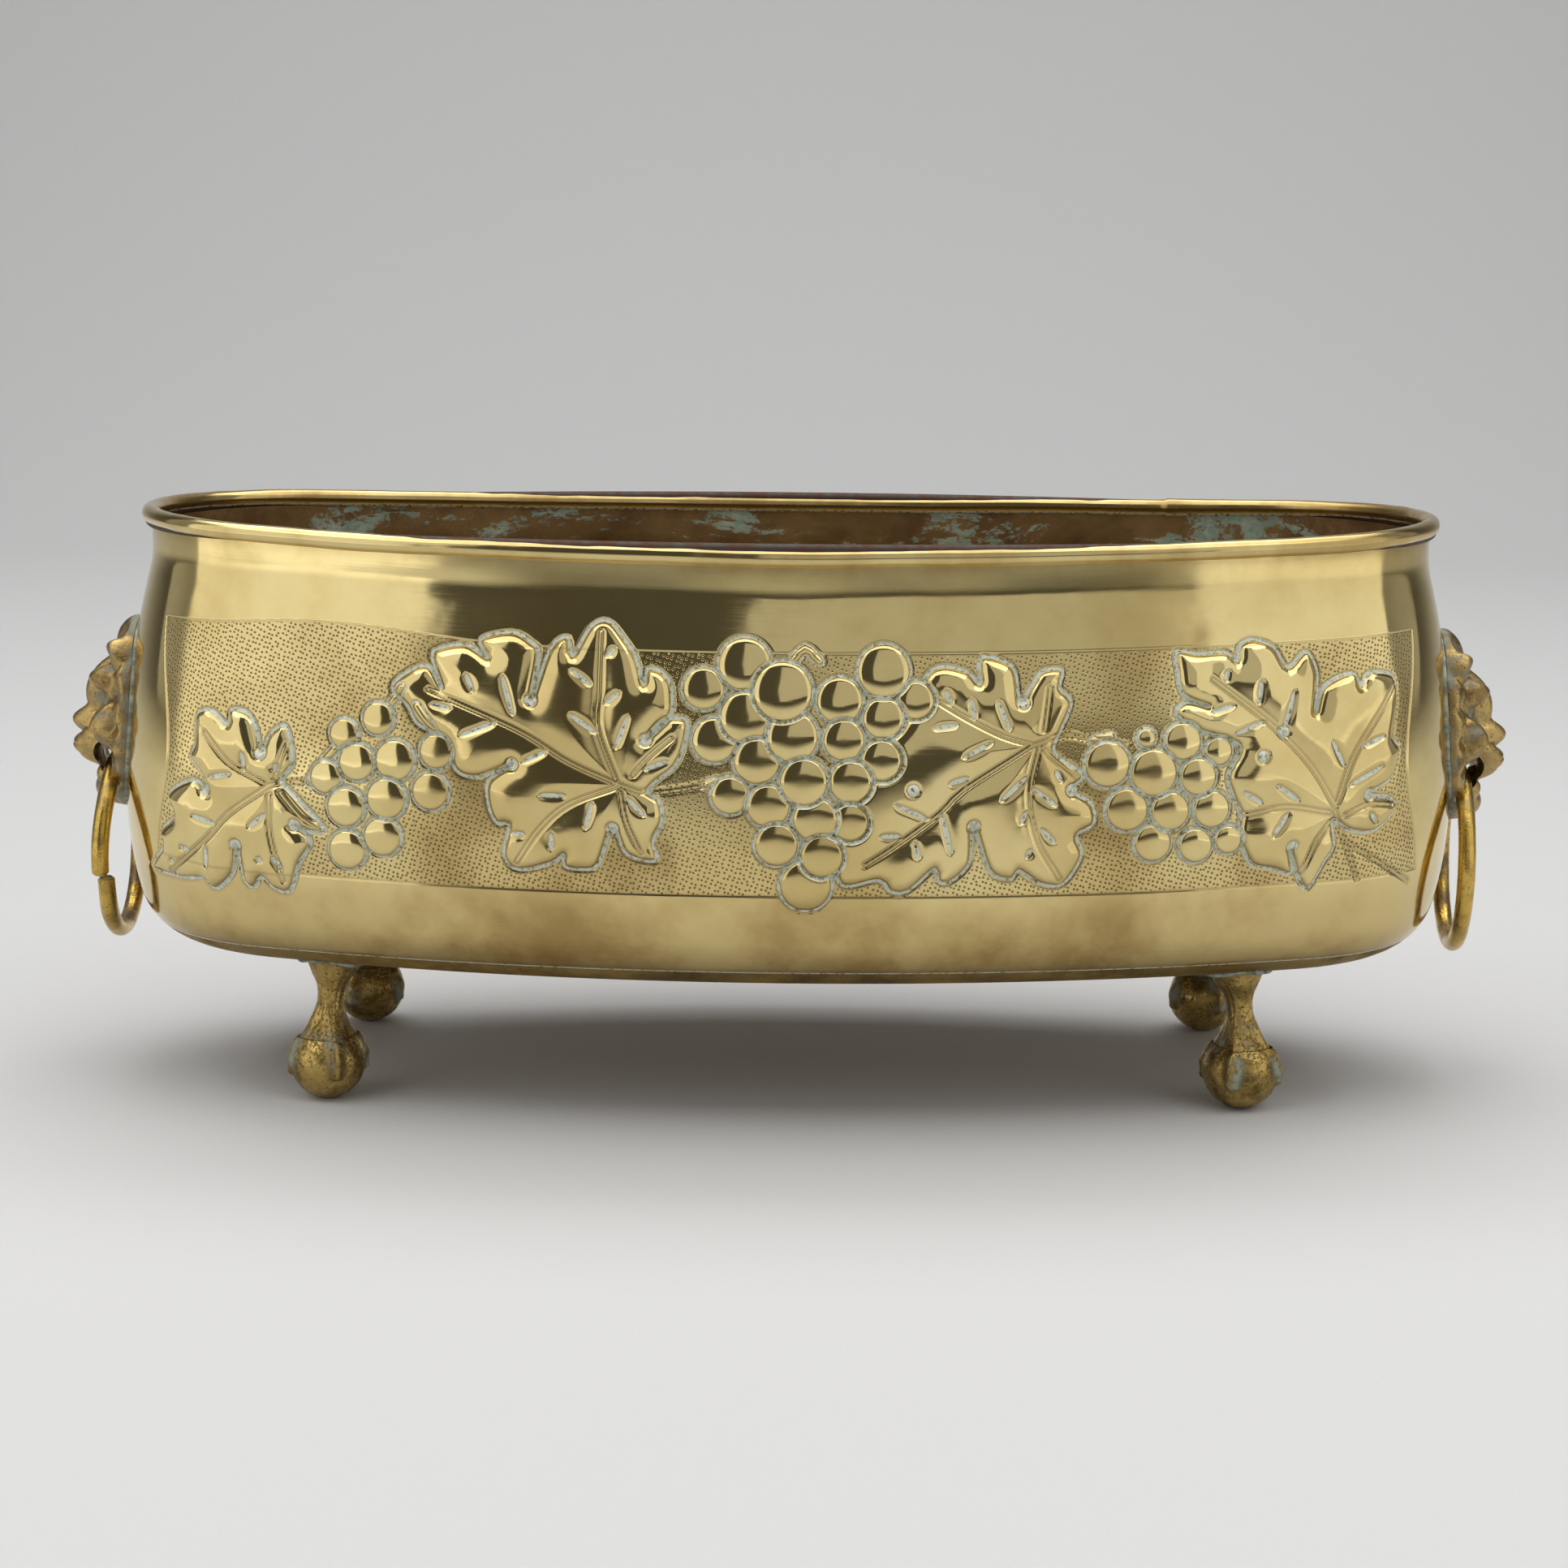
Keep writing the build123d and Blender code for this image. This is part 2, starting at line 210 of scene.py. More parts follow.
def mesh_piece(name, points, faces, smooth=True):
    """A mesh object from an (n, 3) array in millimetres and a list of (k, corners) face arrays."""
    mesh = bpy.data.meshes.new(name)
    counts = np.concatenate([np.full(len(f), f.shape[1]) for f in faces])
    loops = np.concatenate([f.ravel() for f in faces])
    mesh.vertices.add(len(points))
    mesh.vertices.foreach_set("co", (np.asarray(points) * MM).astype(np.float32).ravel())
    mesh.loops.add(len(loops))
    mesh.loops.foreach_set("vertex_index", loops.astype(np.int32))
    mesh.polygons.add(len(counts))
    mesh.polygons.foreach_set("loop_start", np.concatenate([[0], np.cumsum(counts)[:-1]]).astype(np.int32))
    mesh.polygons.foreach_set("use_smooth", np.full(len(counts), smooth))
    mesh.update(calc_edges=True)
    mesh.validate()
    piece = bpy.data.objects.new(name, mesh)
    scene.collection.objects.link(piece)
    return piece


def grid_faces(rows, columns, wrap_rows=False, wrap_columns=False):
    """Quads of a grid of rows by columns points, which may join up either way."""
    i = np.arange(rows if wrap_rows else rows - 1)
    j = np.arange(columns if wrap_columns else columns - 1)
    i, j = (a.ravel() for a in np.meshgrid(i, j, indexing="ij"))
    i2, j2 = (i + 1) % rows, (j + 1) % columns
    return np.stack([i * columns + j, i2 * columns + j, i2 * columns + j2, i * columns + j2], 1)


def facing_out(points, faces):
    """The faces of a closed skin, turned round if it is inside out: the pyramids from the origin to its
    faces then add up to less than nothing."""
    volume = 0.0
    for group in faces:
        corners = points[group]
        for k in range(1, group.shape[1] - 1):
            volume += np.sum(corners[:, 0] * np.cross(corners[:, k], corners[:, k + 1]))
    return faces if volume > 0 else [group[:, ::-1] for group in faces]


def tube(name, rings, closed=False):
    """A skin over rings of points, (rings, points, 3), closed by a flat face at each end unless it joins
    up."""
    count, around = rings.shape[:2]
    faces = [grid_faces(count, around, closed, True)]
    if not closed:
        first = np.arange(around)[None, ::-1]
        faces += [first, (count - 1) * around + np.arange(around)[None, :]]
    points = rings.reshape(-1, 3)
    return mesh_piece(name, points, facing_out(points, faces))


def give(piece, values):
    """Writes each named array as a number on every point of the piece, for its material to read."""
    for name, numbers in values.items():
        data = piece.data.attributes.new(name, "FLOAT", "POINT").data
        data.foreach_set("value", np.clip(numbers, 0, 1).astype(np.float32).ravel())


def give_girth(piece, u, v):
    """A UV map in metres: the way round the pot, and the height."""
    layer = piece.data.uv_layers.new(name="girth")
    corners = np.empty(len(piece.data.loops), np.int32)
    piece.data.loops.foreach_get("vertex_index", corners)
    flat = np.stack([u.ravel()[corners], v.ravel()[corners]], 1) * MM
    layer.data.foreach_set("uv", flat.astype(np.float32).ravel())


def smooth_path(points, step, closed=False):
    """A Catmull-Rom curve through the points, with a point about every step along it."""
    points = np.asarray(points, float)
    if closed:
        before, after = points[-1:], points[:2]
    else:
        before, after = 2 * points[:1] - points[1:2], 2 * points[-1:] - points[-2:-1]
    p = np.concatenate([before, points, after])
    pieces = []
    for a, b, c, d in zip(p, p[1:], p[2:], p[3:]):
        t = np.linspace(0, 1, max(2, int(np.linalg.norm(c - b) / step)), endpoint=False)[:, None]
        squared, cubed = (2 * a - 5 * b + 4 * c - d) * t**2, (3 * b - a - 3 * c + d) * t**3
        pieces.append(0.5 * (2 * b + (c - a) * t + squared + cubed))
    if not closed:
        pieces.append(p[-2:-1])
    return np.concatenate(pieces)


def finish_piece(piece, slot, body, material, *nodes):
    """Gives a piece its material and the body it rides on, and hides the CAD nodes it stands for. The slot
    is not used.
    """
    piece.data.materials.append(material)
    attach(piece, body)
    if nodes:
        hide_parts(*nodes)
    return piece


# ---------------------------------------------------------------- the chased vine, in (u, v)

# A leaf has its edge, its veins, the seed dots struck at the ends of its clefts, and its nicks: short
# lens-shaped blows along its panels. Each is where the chaser put it.
LEAVES = [
    {
        "edge": [(-242, 83), (-232, 92), (-232, 98), (-224, 104), (-227, 110), (-224, 114), (-214, 118),
                 (-208, 114), (-210, 120), (-216, 126), (-214, 130), (-214, 138), (-213, 142),
                 (-207, 143), (-200, 139), (-199, 144), (-193, 144), (-189, 140), (-186, 131),
                 (-183, 137), (-177, 140), (-174, 128), (-178, 121), (-172, 115), (-162, 105),
                 (-168, 104), (-173, 106), (-168, 102), (-168, 98), (-172, 92), (-176, 82), (-182, 82),
                 (-187, 86), (-190, 82), (-194, 84), (-196, 97), (-198, 87), (-204, 81), (-208, 80),
                 (-212, 83), (-221, 82), (-232, 82)],
        "veins": [[(-182, 119), (-198, 108), (-208, 98), (-227, 84)],
                  [(-184, 120), (-198, 126), (-208, 135)], [(-180, 122), (-176, 134)],
                  [(-182, 116), (-182, 103), (-178, 86)], [(-178, 117), (-170, 109), (-164, 106)],
                  [(-182, 119), (-178, 120), (-168, 121)]],
        "dots": [(-208, 115), (-186, 130), (-173, 106), (-196, 97)],
        "nicks": [(-193, 130, -192, 124), (-206, 120, -197, 122), (-213, 106, -204, 104),
                  (-190, 104, -184, 109), (-208, 96, -208, 88), (-220, 94, -216, 93),
                  (-186, 94, -187, 92), (-182, 94, -178, 90), (-180, 127, -180, 124), (-226, 89, -225, 87)],
    },
    {
        "edge": [(-138, 156), (-132, 162), (-125, 164), (-120, 157), (-124, 167), (-122, 170),
                 (-112, 172), (-104, 168), (-107, 174), (-96, 177), (-89, 174), (-86, 170), (-88, 154),
                 (-82, 172), (-76, 176), (-74, 170), (-68, 180), (-62, 182), (-56, 176), (-52, 170),
                 (-49, 161), (-48, 166), (-44, 166), (-40, 162), (-39, 156), (-40, 150), (-48, 142),
                 (-42, 149), (-34, 149), (-35, 140), (-38, 133), (-44, 128), (-47, 124), (-43, 121),
                 (-42, 114), (-45, 107), (-44, 100), (-54, 102), (-59, 111), (-64, 98), (-70, 96),
                 (-76, 97), (-76, 101), (-80, 98), (-92, 95), (-97, 100), (-95, 111), (-99, 111),
                 (-102, 116), (-103, 124), (-100, 128), (-94, 132), (-106, 127), (-114, 129), (-118, 139),
                 (-128, 144), (-132, 150)],
        "veins": [[(-57, 127), (-64, 145), (-64, 158), (-64, 178)],
                  [(-57, 127), (-74, 134), (-92, 144), (-124, 156)],
                  [(-57, 126), (-74, 119), (-84, 110), (-92, 98)], [(-56, 124), (-54, 114), (-49, 103)],
                  [(-52, 130), (-46, 137), (-39, 143)], [(-57, 127), (-46, 124), (-27, 127)]],
        "dots": [(-88, 154), (-94, 132), (-48, 142), (-59, 111)],
        "nicks": [(-98, 162, -94, 149), (-111, 162, -108, 156), (-112, 141, -100, 146),
                  (-123, 151, -116, 150), (-74, 150, -65, 144), (-84, 122, -75, 122),
                  (-66, 120, -68, 111), (-80, 109, -80, 103), (-89, 108, -94, 108), (-82, 137, -90, 133),
                  (-54, 150, -58, 139), (-62, 154, -57, 158), (-62, 170, -59, 173), (-74, 165, -67, 160),
                  (-54, 122, -48, 116), (-48, 132, -40, 135)],
    },
    {
        "edge": [(40, 150), (47, 164), (53, 168), (62, 166), (66, 162), (66, 170), (70, 171), (78, 167),
                 (80, 156), (84, 161), (88, 166), (95, 166), (94, 160), (98, 155), (94, 145), (92, 138),
                 (102, 130), (98, 125), (105, 120), (106, 113), (100, 109), (102, 102), (96, 92),
                 (88, 92), (80, 97), (78, 94), (70, 97), (64, 113), (63, 100), (56, 93), (52, 94),
                 (51, 98), (42, 90), (36, 90), (32, 94), (18, 94), (20, 125)],
        "veins": [[(84, 141), (74, 144), (62, 150), (52, 156)],
                  [(84, 141), (60, 126), (52, 118), (36, 106), (27, 100)],
                  [(86, 140), (83, 125), (86, 108), (94, 94)], [(88, 146), (90, 160)],
                  [(84, 141), (96, 144), (106, 142), (118, 140)], [(88, 139), (102, 127)]],
        "dots": [(81, 155), (64, 113), (98, 125), (43, 126)],
        "nicks": [(63, 157, 64, 150), (72, 156, 76, 146), (60, 137, 70, 142), (73, 122, 82, 130),
                  (84, 126, 92, 120), (92, 132, 94, 128), (80, 114, 82, 118), (87, 112, 92, 107),
                  (82, 102, 84, 105), (54, 160, 56, 155), (50, 147, 58, 148), (37, 121, 48, 116),
                  (53, 118, 56, 104), (44, 108, 45, 102), (32, 110, 39, 110), (55, 128, 62, 130)],
    },
    {
        "edge": [(136, 171), (136, 164), (138, 156), (147, 152), (139, 154), (135, 150), (143, 144),
                 (158, 138), (154, 128), (156, 120), (159, 114), (158, 107), (160, 102), (164, 96),
                 (172, 94), (179, 92), (178, 100), (182, 90), (186, 86), (192, 96), (195, 101),
                 (194, 110), (201, 106), (212, 105), (222, 112), (218, 116), (208, 118), (218, 122),
                 (222, 128), (223, 134), (220, 137), (223, 149), (222, 158), (210, 160), (206, 156),
                 (204, 160), (198, 160), (190, 156), (187, 148), (188, 156), (188, 163), (184, 169),
                 (177, 164), (172, 171), (164, 174), (159, 172), (158, 167), (154, 170), (144, 170)],
        "veins": [[(194, 115), (184, 130), (170, 144), (148, 161)], [(194, 116), (202, 134), (222, 156)],
                  [(192, 113), (175, 116), (159, 114)], [(193, 110), (187, 104), (182, 92)],
                  [(194, 113), (206, 88)], [(201, 101), (233, 84)], [(198, 112), (208, 115), (218, 114)]],
        "dots": [(208, 118), (178, 102), (174, 142), (166, 134)],
        "nicks": [(154, 164, 153, 160), (166, 160, 165, 152), (178, 156, 174, 142), (156, 142, 167, 146),
                  (171, 124, 180, 118), (176, 114, 170, 106), (159, 122, 166, 118), (192, 138, 197, 129),
                  (199, 122, 213, 128), (205, 135, 214, 138), (148, 150, 156, 152), (208, 112, 211, 108)],
    },
]

# Grapes as u, v, radius, from the back of each bunch to its front
GRAPES = [
    (-142.5, 145, 6.1), (-155, 139, 5.6), (-121, 135, 6.4), (-161.5, 123.5, 6.1), (-150, 129.5, 6.9),
    (-136, 131, 7.5), (-123, 121, 6.9), (-153.5, 98.5, 7.2), (-154, 113.5, 7.2), (-140.5, 104, 7.2),
    (-139, 117.5, 7.5), (-28.5, 160, 7.5), (-14.5, 168.5, 9.4), (-24.5, 142.5, 8.1), (-14, 150.5, 9.2),
    (18, 156.5, 8.3), (44, 156.5, 6.9), (33, 150.5, 7.5), (19.5, 143, 7.5), (32.5, 136, 7.5),
    (-10, 135.5, 8.3), (22, 128.5, 7.8), (-19, 123.5, 6.9), (-6, 120, 7.8), (22, 114.5, 6.9),
    (10, 115.5, 8.1), (-3, 106.5, 7.8), (2, 144, 9.2), (7, 92, 9.2), (6, 128.5, 8.6), (12.5, 102.5, 7.8),
    (33, 166.5, 9.4), (-1.5, 159.5, 10.6), (150.5, 136.5, 5.3), (137.5, 140.5, 6.9), (124.5, 142, 3.6),
    (154.5, 105.5, 5.3), (110.5, 133.5, 8.3), (148, 116.5, 6.9), (143, 128, 6.9), (142.5, 104, 6.4),
    (117.5, 117.5, 7.8), (127, 105.5, 6.9), (133, 116.5, 7.2), (127, 130, 8.6),
]

STEMS = [
    [(-168, 121), (-164, 127), (-158, 134)], [(-27, 127), (-24, 128)], [(2, 170), (6, 174), (11, 170)],
    [(-134, 156), (-139, 149), (-141, 143)], [(106, 142), (112, 143)],
    [(-128, 150), (-122, 142), (-124, 138)],
]


def distance(x, y, path, closed=False):
    """How far each point is from a path of straight runs: the least, over the runs, of the distance to
    the run."""
    path = np.asarray(path, float)
    ends = np.roll(path, -1, 0) if closed else path[1:]
    best = np.full(x.shape, 1e9)
    for (ax, ay), (bx, by) in zip(path, ends):
        length = max((bx - ax) ** 2 + (by - ay) ** 2, 1e-9)
        t = np.clip(((x - ax) * (bx - ax) + (y - ay) * (by - ay)) / length, 0, 1)
        best = np.minimum(best, (x - ax - t * (bx - ax)) ** 2 + (y - ay - t * (by - ay)) ** 2)
    return np.sqrt(best)


def within(x, y, path):
    """Whether each point is inside a closed path: a line to the right of it crosses the path an odd
    number of times."""
    crossings = np.zeros(x.shape, bool)
    for (ax, ay), (bx, by) in zip(path, np.roll(path, -1, 0)):
        if ay != by:
            crossings ^= ((ay > y) != (by > y)) & (x < (bx - ax) * (y - ay) / (by - ay) + ax)
    return crossings


def groove(gap, width):
    """A rounded groove: 1 along its line, falling away as a bell curve of this width."""
    return np.exp(-((gap / width) ** 2))


def block(u, v, points, margin):
    """The slices of the grid that hold these points and a margin round them."""
    points = np.asarray(points, float)
    low, high = points.min(0) - margin, points.max(0) + margin
    i = np.searchsorted(u, [low[0], high[0]])
    j = np.searchsorted(v, [low[1], high[1]])
    return slice(*i), slice(*j)


def chase_leaf(x, y, height, ground, dirt, leaf):
    """Raises a leaf: within its edge the sheet stands up 2.3 mm as 1 - exp(-distance to edge), and the
    panels between its veins swell as much as 1.3 mm more. Each vein is a rib between two grooves."""
    edge = smooth_path(leaf["edge"], 1.6, closed=True)
    gap, inner = distance(x, y, edge, closed=True), within(x, y, edge)
    vein = np.full(x.shape, 1e9)
    for line in leaf["veins"]:
        vein = np.minimum(vein, distance(x, y, smooth_path(line, 3.0)))
    swell = (1 - groove(vein, 6.0)) * (1 - np.exp(-gap / 4.5))
    height[:] = np.where(inner, 2.3 * (1 - np.exp(-gap / 1.9)) + 1.3 * swell, height)
    near_ribs = np.where(inner | (vein < 2.2), 1.0, 0.0)
    rib = groove(np.abs(vein) - 0.75, 0.5) * near_ribs
    height -= 0.6 * groove(gap, 0.8) + 0.55 * rib
    dirt[:] = np.maximum(dirt, np.maximum(groove(gap, 1.0), 0.55 * rib))
    ground *= np.where(inner, 0, 1 - groove(gap, 1.3))
    for ax, ay, bx, by in leaf["nicks"]:
        along = ((x - ax) * (bx - ax) + (y - ay) * (by - ay)) / ((bx - ax) ** 2 + (by - ay) ** 2)
        lens = 0.35 + 1.15 * np.sqrt(np.clip(4 * along * (1 - along), 0, 1))
        off = distance(x, y, [(ax, ay), (bx, by)])
        height -= 0.85 * groove(off, lens)
        dirt[:] = np.maximum(dirt, groove(off, 0.75 * lens))
    for cx, cy in leaf["dots"]:
        r = np.hypot(x - cx, y - cy)
        height += 0.5 * groove(r, 1.5) - 0.6 * groove(r - 2.1, 0.5)
        dirt[:] = np.maximum(dirt, ease((2.6 - r) / 0.8))


def chase_grape(x, y, height, ground, dirt, centre_u, centre_v, radius):
    """Raises a grape in front of what is there: a flattened dome, 0.22 of its radius high and steep at
    its edge, in a ring groove."""
    r = np.hypot(x - centre_u, y - centre_v)
    dome = 0.22 * radius * np.clip(1 - (r / radius) ** 2.6, 0, 1) ** 0.6
    height[:] = np.where(r < radius, 0.4 + dome, height)
    height -= 0.7 * groove(r - radius, 0.5)
    dirt[:] = np.where(r < radius - 1.2, 0, dirt)
    dirt[:] = np.maximum(dirt, groove(r - radius, 0.8))
    ground *= np.where(r < radius, 0, 1 - groove(r - radius, 1.3))


def chasing(u, v):
    """The chased band over a grid: height, matted ground and dirt, each (len(u), len(v)). The ground is
    sunk a quarter of a millimetre between two scribed lines, and motifs are struck into it from back to
    front."""
    x, y = np.meshgrid(u, v, indexing="ij")
    top = BAND_HIGH + 4.5 * groove(x + 162, 45)
    bottom = BAND_LOW + 3 * groove(x + 250, 40)
    reserve = 240 - (240 - RESERVE) * groove(y - 128, 34)
    edge = np.minimum(np.minimum(top - y, y - bottom), reserve - np.abs(x))
    ground = ease(edge / 0.8)
    height = -0.25 * ground - 0.3 * groove(edge, 0.45)
    dirt = 0.45 * groove(edge, 0.4)
    for leaf in LEAVES:
        i, j = block(u, v, leaf["edge"] + [point for line in leaf["veins"] for point in line], 4)
        if i.start < i.stop:
            chase_leaf(x[i, j], y[i, j], height[i, j], ground[i, j], dirt[i, j], leaf)
    for line in STEMS:
        i, j = block(u, v, line, 4)
        if i.start < i.stop:
            gap = distance(x[i, j], y[i, j], smooth_path(line, 2.0))
            height[i, j] += 0.9 * groove(gap, 1.2) - 0.5 * groove(gap - 1.7, 0.5)
            dirt[i, j] = np.maximum(dirt[i, j], 0.8 * groove(gap - 1.7, 0.6))
            ground[i, j] *= 1 - groove(gap, 2.2)
    for centre_u, centre_v, radius in GRAPES:
        i, j = block(u, v, [(centre_u, centre_v)], radius + 4)
        if i.start < i.stop:
            chase_grape(x[i, j], y[i, j], height[i, j], ground[i, j], dirt[i, j], centre_u, centre_v, radius)
    return height, ground, dirt


# ---------------------------------------------------------------- finishes

# Settings of the plain nodes: one colour over another, a number run smoothly from one range to another, and
# products, sums and differences, which are held between 0 and 1 unless they are loose
OVER = {"data_type": "RGBA"}
SMOOTH = {"interpolation_type": "SMOOTHSTEP"}
TIMES = {"operation": "MULTIPLY", "use_clamp": True}
PLUS = {"operation": "ADD", "use_clamp": True}
MINUS = {"operation": "SUBTRACT", "use_clamp": True}
LOOSE_SUM = {"operation": "ADD"}


def colour(code):
    """An sRGB hex colour as the linear red, green, blue and alpha that the shaders take."""
    parts = [int(code[i : i + 2], 16) / 255 for i in (0, 2, 4)]
    return [p / 12.92 if p <= 0.04045 else ((p + 0.055) / 1.055) ** 2.4 for p in parts] + [1.0]


def add(tree, kind, settings, inputs, output=0):
    """Adds one node with its settings, sets or links its inputs, and returns one of its outputs."""
    node = tree.nodes.new("ShaderNode" + kind)
    for name, value in settings.items():
        setattr(node, name, value)
    for name, value in inputs.items():
        if isinstance(value, bpy.types.NodeSocket):
            tree.links.new(value, node.inputs[name])
        else:
            node.inputs[name].default_value = value
    return node.outputs[output]


def new_finish(name):
    """An empty material: itself, its node tree and its main shader."""
    material = bpy.data.materials.new(name)
    material.use_nodes = True
    return material, material.node_tree, material.node_tree.nodes["Principled BSDF"]


def polished_sheet():
    """Rolled yellow brass, polished by hand for years: clear soft reflections, faint cloth scratches
    along the pot, brown bloom where the cloth misses, punched pits with old polish dried in them, and
    grey-green polish caked in the chased lines."""
    material, tree, shader = new_finish("polished_yellow_brass")
    girth = add(tree, "UVMap", {"uv_map": "girth"}, {})
    place = add(tree, "TexCoord", {}, {}, "Object")
    ground = add(tree, "Attribute", {"attribute_name": "matting"}, {}, "Fac")
    dirt = add(tree, "Attribute", {"attribute_name": "deposit_and_gap_shade"}, {}, "Fac")
    stain = add(tree, "Attribute", {"attribute_name": "tarnish"}, {}, "Fac")

    # Punch marks 0.8 mm across and 1.65 mm apart, in loose rows that run a little uphill
    rows = add(tree, "Mapping", {}, {"Vector": girth, "Rotation": (0, 0, 0.30)})
    flat = {"voronoi_dimensions": "2D"}
    pits = add(tree, "TexVoronoi", flat, {"Vector": rows, "Scale": 600.0, "Randomness": 0.42})
    pit = add(tree, "MapRange", SMOOTH, {"Value": pits, "From Min": 0.30, "From Max": 0.17})
    pit = add(tree, "Math", TIMES, {0: pit, 1: ground})
    # Bloom in patches of about 60 mm, broken up at 8 mm; polish dries in crumbs of a millimetre or two
    bloom = add(tree, "TexNoise", {}, {"Vector": place, "Scale": 16.0, "Detail": 5.0, "Roughness": 0.62})
    crumbs = add(tree, "TexNoise", {}, {"Vector": place, "Scale": 620.0, "Detail": 2.0, "Roughness": 0.6})
    caked = add(tree, "MapRange", SMOOTH, {"Value": dirt, "From Min": 0.42, "From Max": 0.75})
    crumbled = add(tree, "MapRange", SMOOTH, {"Value": crumbs, "From Min": 0.25, "From Max": 0.52})
    cake = add(tree, "Math", TIMES, {0: caked, 1: crumbled})
    cake = add(tree, "Math", TIMES, {0: cake, 1: 0.92})
    missed = add(tree, "MapRange", SMOOTH, {"Value": bloom, "From Min": 0.42, "From Max": 0.72})
    stained = add(tree, "Math", TIMES, {0: missed, 1: add(tree, "Math", PLUS, {0: stain, 1: 0.10})})

    tone = add(tree, "MapRange", SMOOTH, {"Value": bloom, "From Min": 0.3, "From Max": 0.7})
    metal = add(tree, "Mix", OVER, {0: tone, 6: colour("E2CF94"), 7: colour("D3BC7E")}, 2)
    metal = add(tree, "Mix", OVER, {0: stained, 6: metal, 7: colour("86693A")}, 2)
    low_v = add(tree, "Math", TIMES, {0: stain, 1: 0.45})
    metal = add(tree, "Mix", OVER, {0: low_v, 6: metal, 7: colour("A08250")}, 2)
    pit_tone = add(tree, "Math", TIMES, {0: pit, 1: 0.8})
    metal = add(tree, "Mix", OVER, {0: pit_tone, 6: metal, 7: colour("52401F")}, 2)
    # Darker where the deposit channel is high: real dirt in the chased lines and at the seam, and a painted
    # shadow along the rim bead's lower inner edge
    line_tone = add(tree, "Math", TIMES, {0: dirt, 1: 0.75})
    metal = add(tree, "Mix", OVER, {0: line_tone, 6: metal, 7: colour("66542E")}, 2)
    metal = add(tree, "Mix", OVER, {0: cake, 6: metal, 7: colour("DCE1CF")}, 2)
    tree.links.new(metal, shader.inputs["Base Color"])
    tree.links.new(add(tree, "Math", MINUS, {0: 1.0, 1: cake}), shader.inputs["Metallic"])

    # Cloth scratches lie along the pot: 40 mm long and a few tenths of a millimetre wide
    combed = {"Vector": girth, "Scale": (25.0, 1500.0, 1.0), "Rotation": (0, 0, 0.05)}
    combed = add(tree, "Mapping", {}, combed)
    scratch = add(tree, "TexNoise", {}, {"Vector": combed, "Scale": 1.0, "Detail": 3.0, "Roughness": 0.7})
    limits = {"Value": bloom, "From Min": 0.35, "From Max": 0.75, "To Min": 0.06, "To Max": 0.15}
    rough = add(tree, "MapRange", SMOOTH, limits)
    limits = {"Value": scratch, "From Min": 0.4, "From Max": 0.8, "To Min": 0.0, "To Max": 0.05}
    rough = add(tree, "Math", PLUS, {0: rough, 1: add(tree, "MapRange", SMOOTH, limits)})
    struck = add(tree, "Math", TIMES, {0: add(tree, "Math", LOOSE_SUM, {0: ground, 1: dirt}), 1: 0.07})
    rough = add(tree, "Math", PLUS, {0: rough, 1: struck})
    dulled = add(tree, "Math", TIMES, {0: add(tree, "Math", PLUS, {0: stained, 1: low_v}), 1: 0.17})
    tree.links.new(add(tree, "Math", PLUS, {0: rough, 1: dulled}), shader.inputs["Roughness"])

    raised = add(tree, "Math", MINUS, {0: 1.0, 1: pit})
    dents = add(tree, "Bump", {}, {"Height": raised, "Distance": 0.0002, "Strength": 0.8}, "Normal")
    combing = {"Height": scratch, "Distance": 0.00001, "Strength": 0.5, "Normal": dents}
    tree.links.new(add(tree, "Bump", {}, combing, "Normal"), shader.inputs["Normal"])
    return material


def oxidised_sheet(name, base, dark, shine, clean):
    """Brass left to weather: brown oxide, with pale lime and green corrosion in broken runs and splashes,
    fewer of them the higher clean is."""
    material, tree, shader = new_finish(name)
    place = add(tree, "TexCoord", {}, {}, "Object")
    # Splashes about 50 mm long and 20 mm high, with ragged edges of a few millimetres
    flat = add(tree, "Mapping", {}, {"Vector": place, "Scale": (16.0, 16.0, 42.0)})
    ragged = {"Vector": flat, "Scale": 1.0, "Detail": 8.0, "Roughness": 0.66, "Distortion": 0.9}
    splash = add(tree, "TexNoise", {}, ragged)
    grain = add(tree, "TexNoise", {}, {"Vector": place, "Scale": 240.0, "Detail": 4.0, "Roughness": 0.7})
    limits = {"Value": grain, "From Min": 0.3, "From Max": 0.7, "To Min": -0.05, "To Max": 0.05}
    splash = add(tree, "Math", LOOSE_SUM, {0: splash, 1: add(tree, "MapRange", SMOOTH, limits)})
    crust = add(tree, "MapRange", SMOOTH, {"Value": splash, "From Min": clean, "From Max": clean + 0.065})
    cloud = add(tree, "TexNoise", {}, {"Vector": place, "Scale": 30.0, "Detail": 6.0, "Roughness": 0.7})
    shade = add(tree, "MapRange", SMOOTH, {"Value": cloud, "From Min": 0.35, "From Max": 0.7})
    metal = add(tree, "Mix", OVER, {0: shade, 6: colour(base), 7: colour(dark)}, 2)
    tint = add(tree, "MapRange", SMOOTH, {"Value": grain, "From Min": 0.35, "From Max": 0.65})
    lime = add(tree, "Mix", OVER, {0: tint, 6: colour("AFBDA9"), 7: colour("7F9C8C")}, 2)
    cover = add(tree, "Math", TIMES, {0: crust, 1: 0.8})
    tree.links.new(add(tree, "Mix", OVER, {0: cover, 6: metal, 7: lime}, 2), shader.inputs["Base Color"])
    tree.links.new(add(tree, "Math", MINUS, {0: shine, 1: crust}), shader.inputs["Metallic"])
    limits = {"Value": splash, "From Min": 0.40, "From Max": 0.60, "To Min": 0.42, "To Max": 0.72}
    tree.links.new(add(tree, "MapRange", SMOOTH, limits), shader.inputs["Roughness"])
    heap = add(tree, "Math", LOOSE_SUM, {0: crust, 1: grain})
    bump = add(tree, "Bump", {}, {"Height": heap, "Distance": 0.00012}, "Normal")
    tree.links.new(bump, shader.inputs["Normal"])
    return material


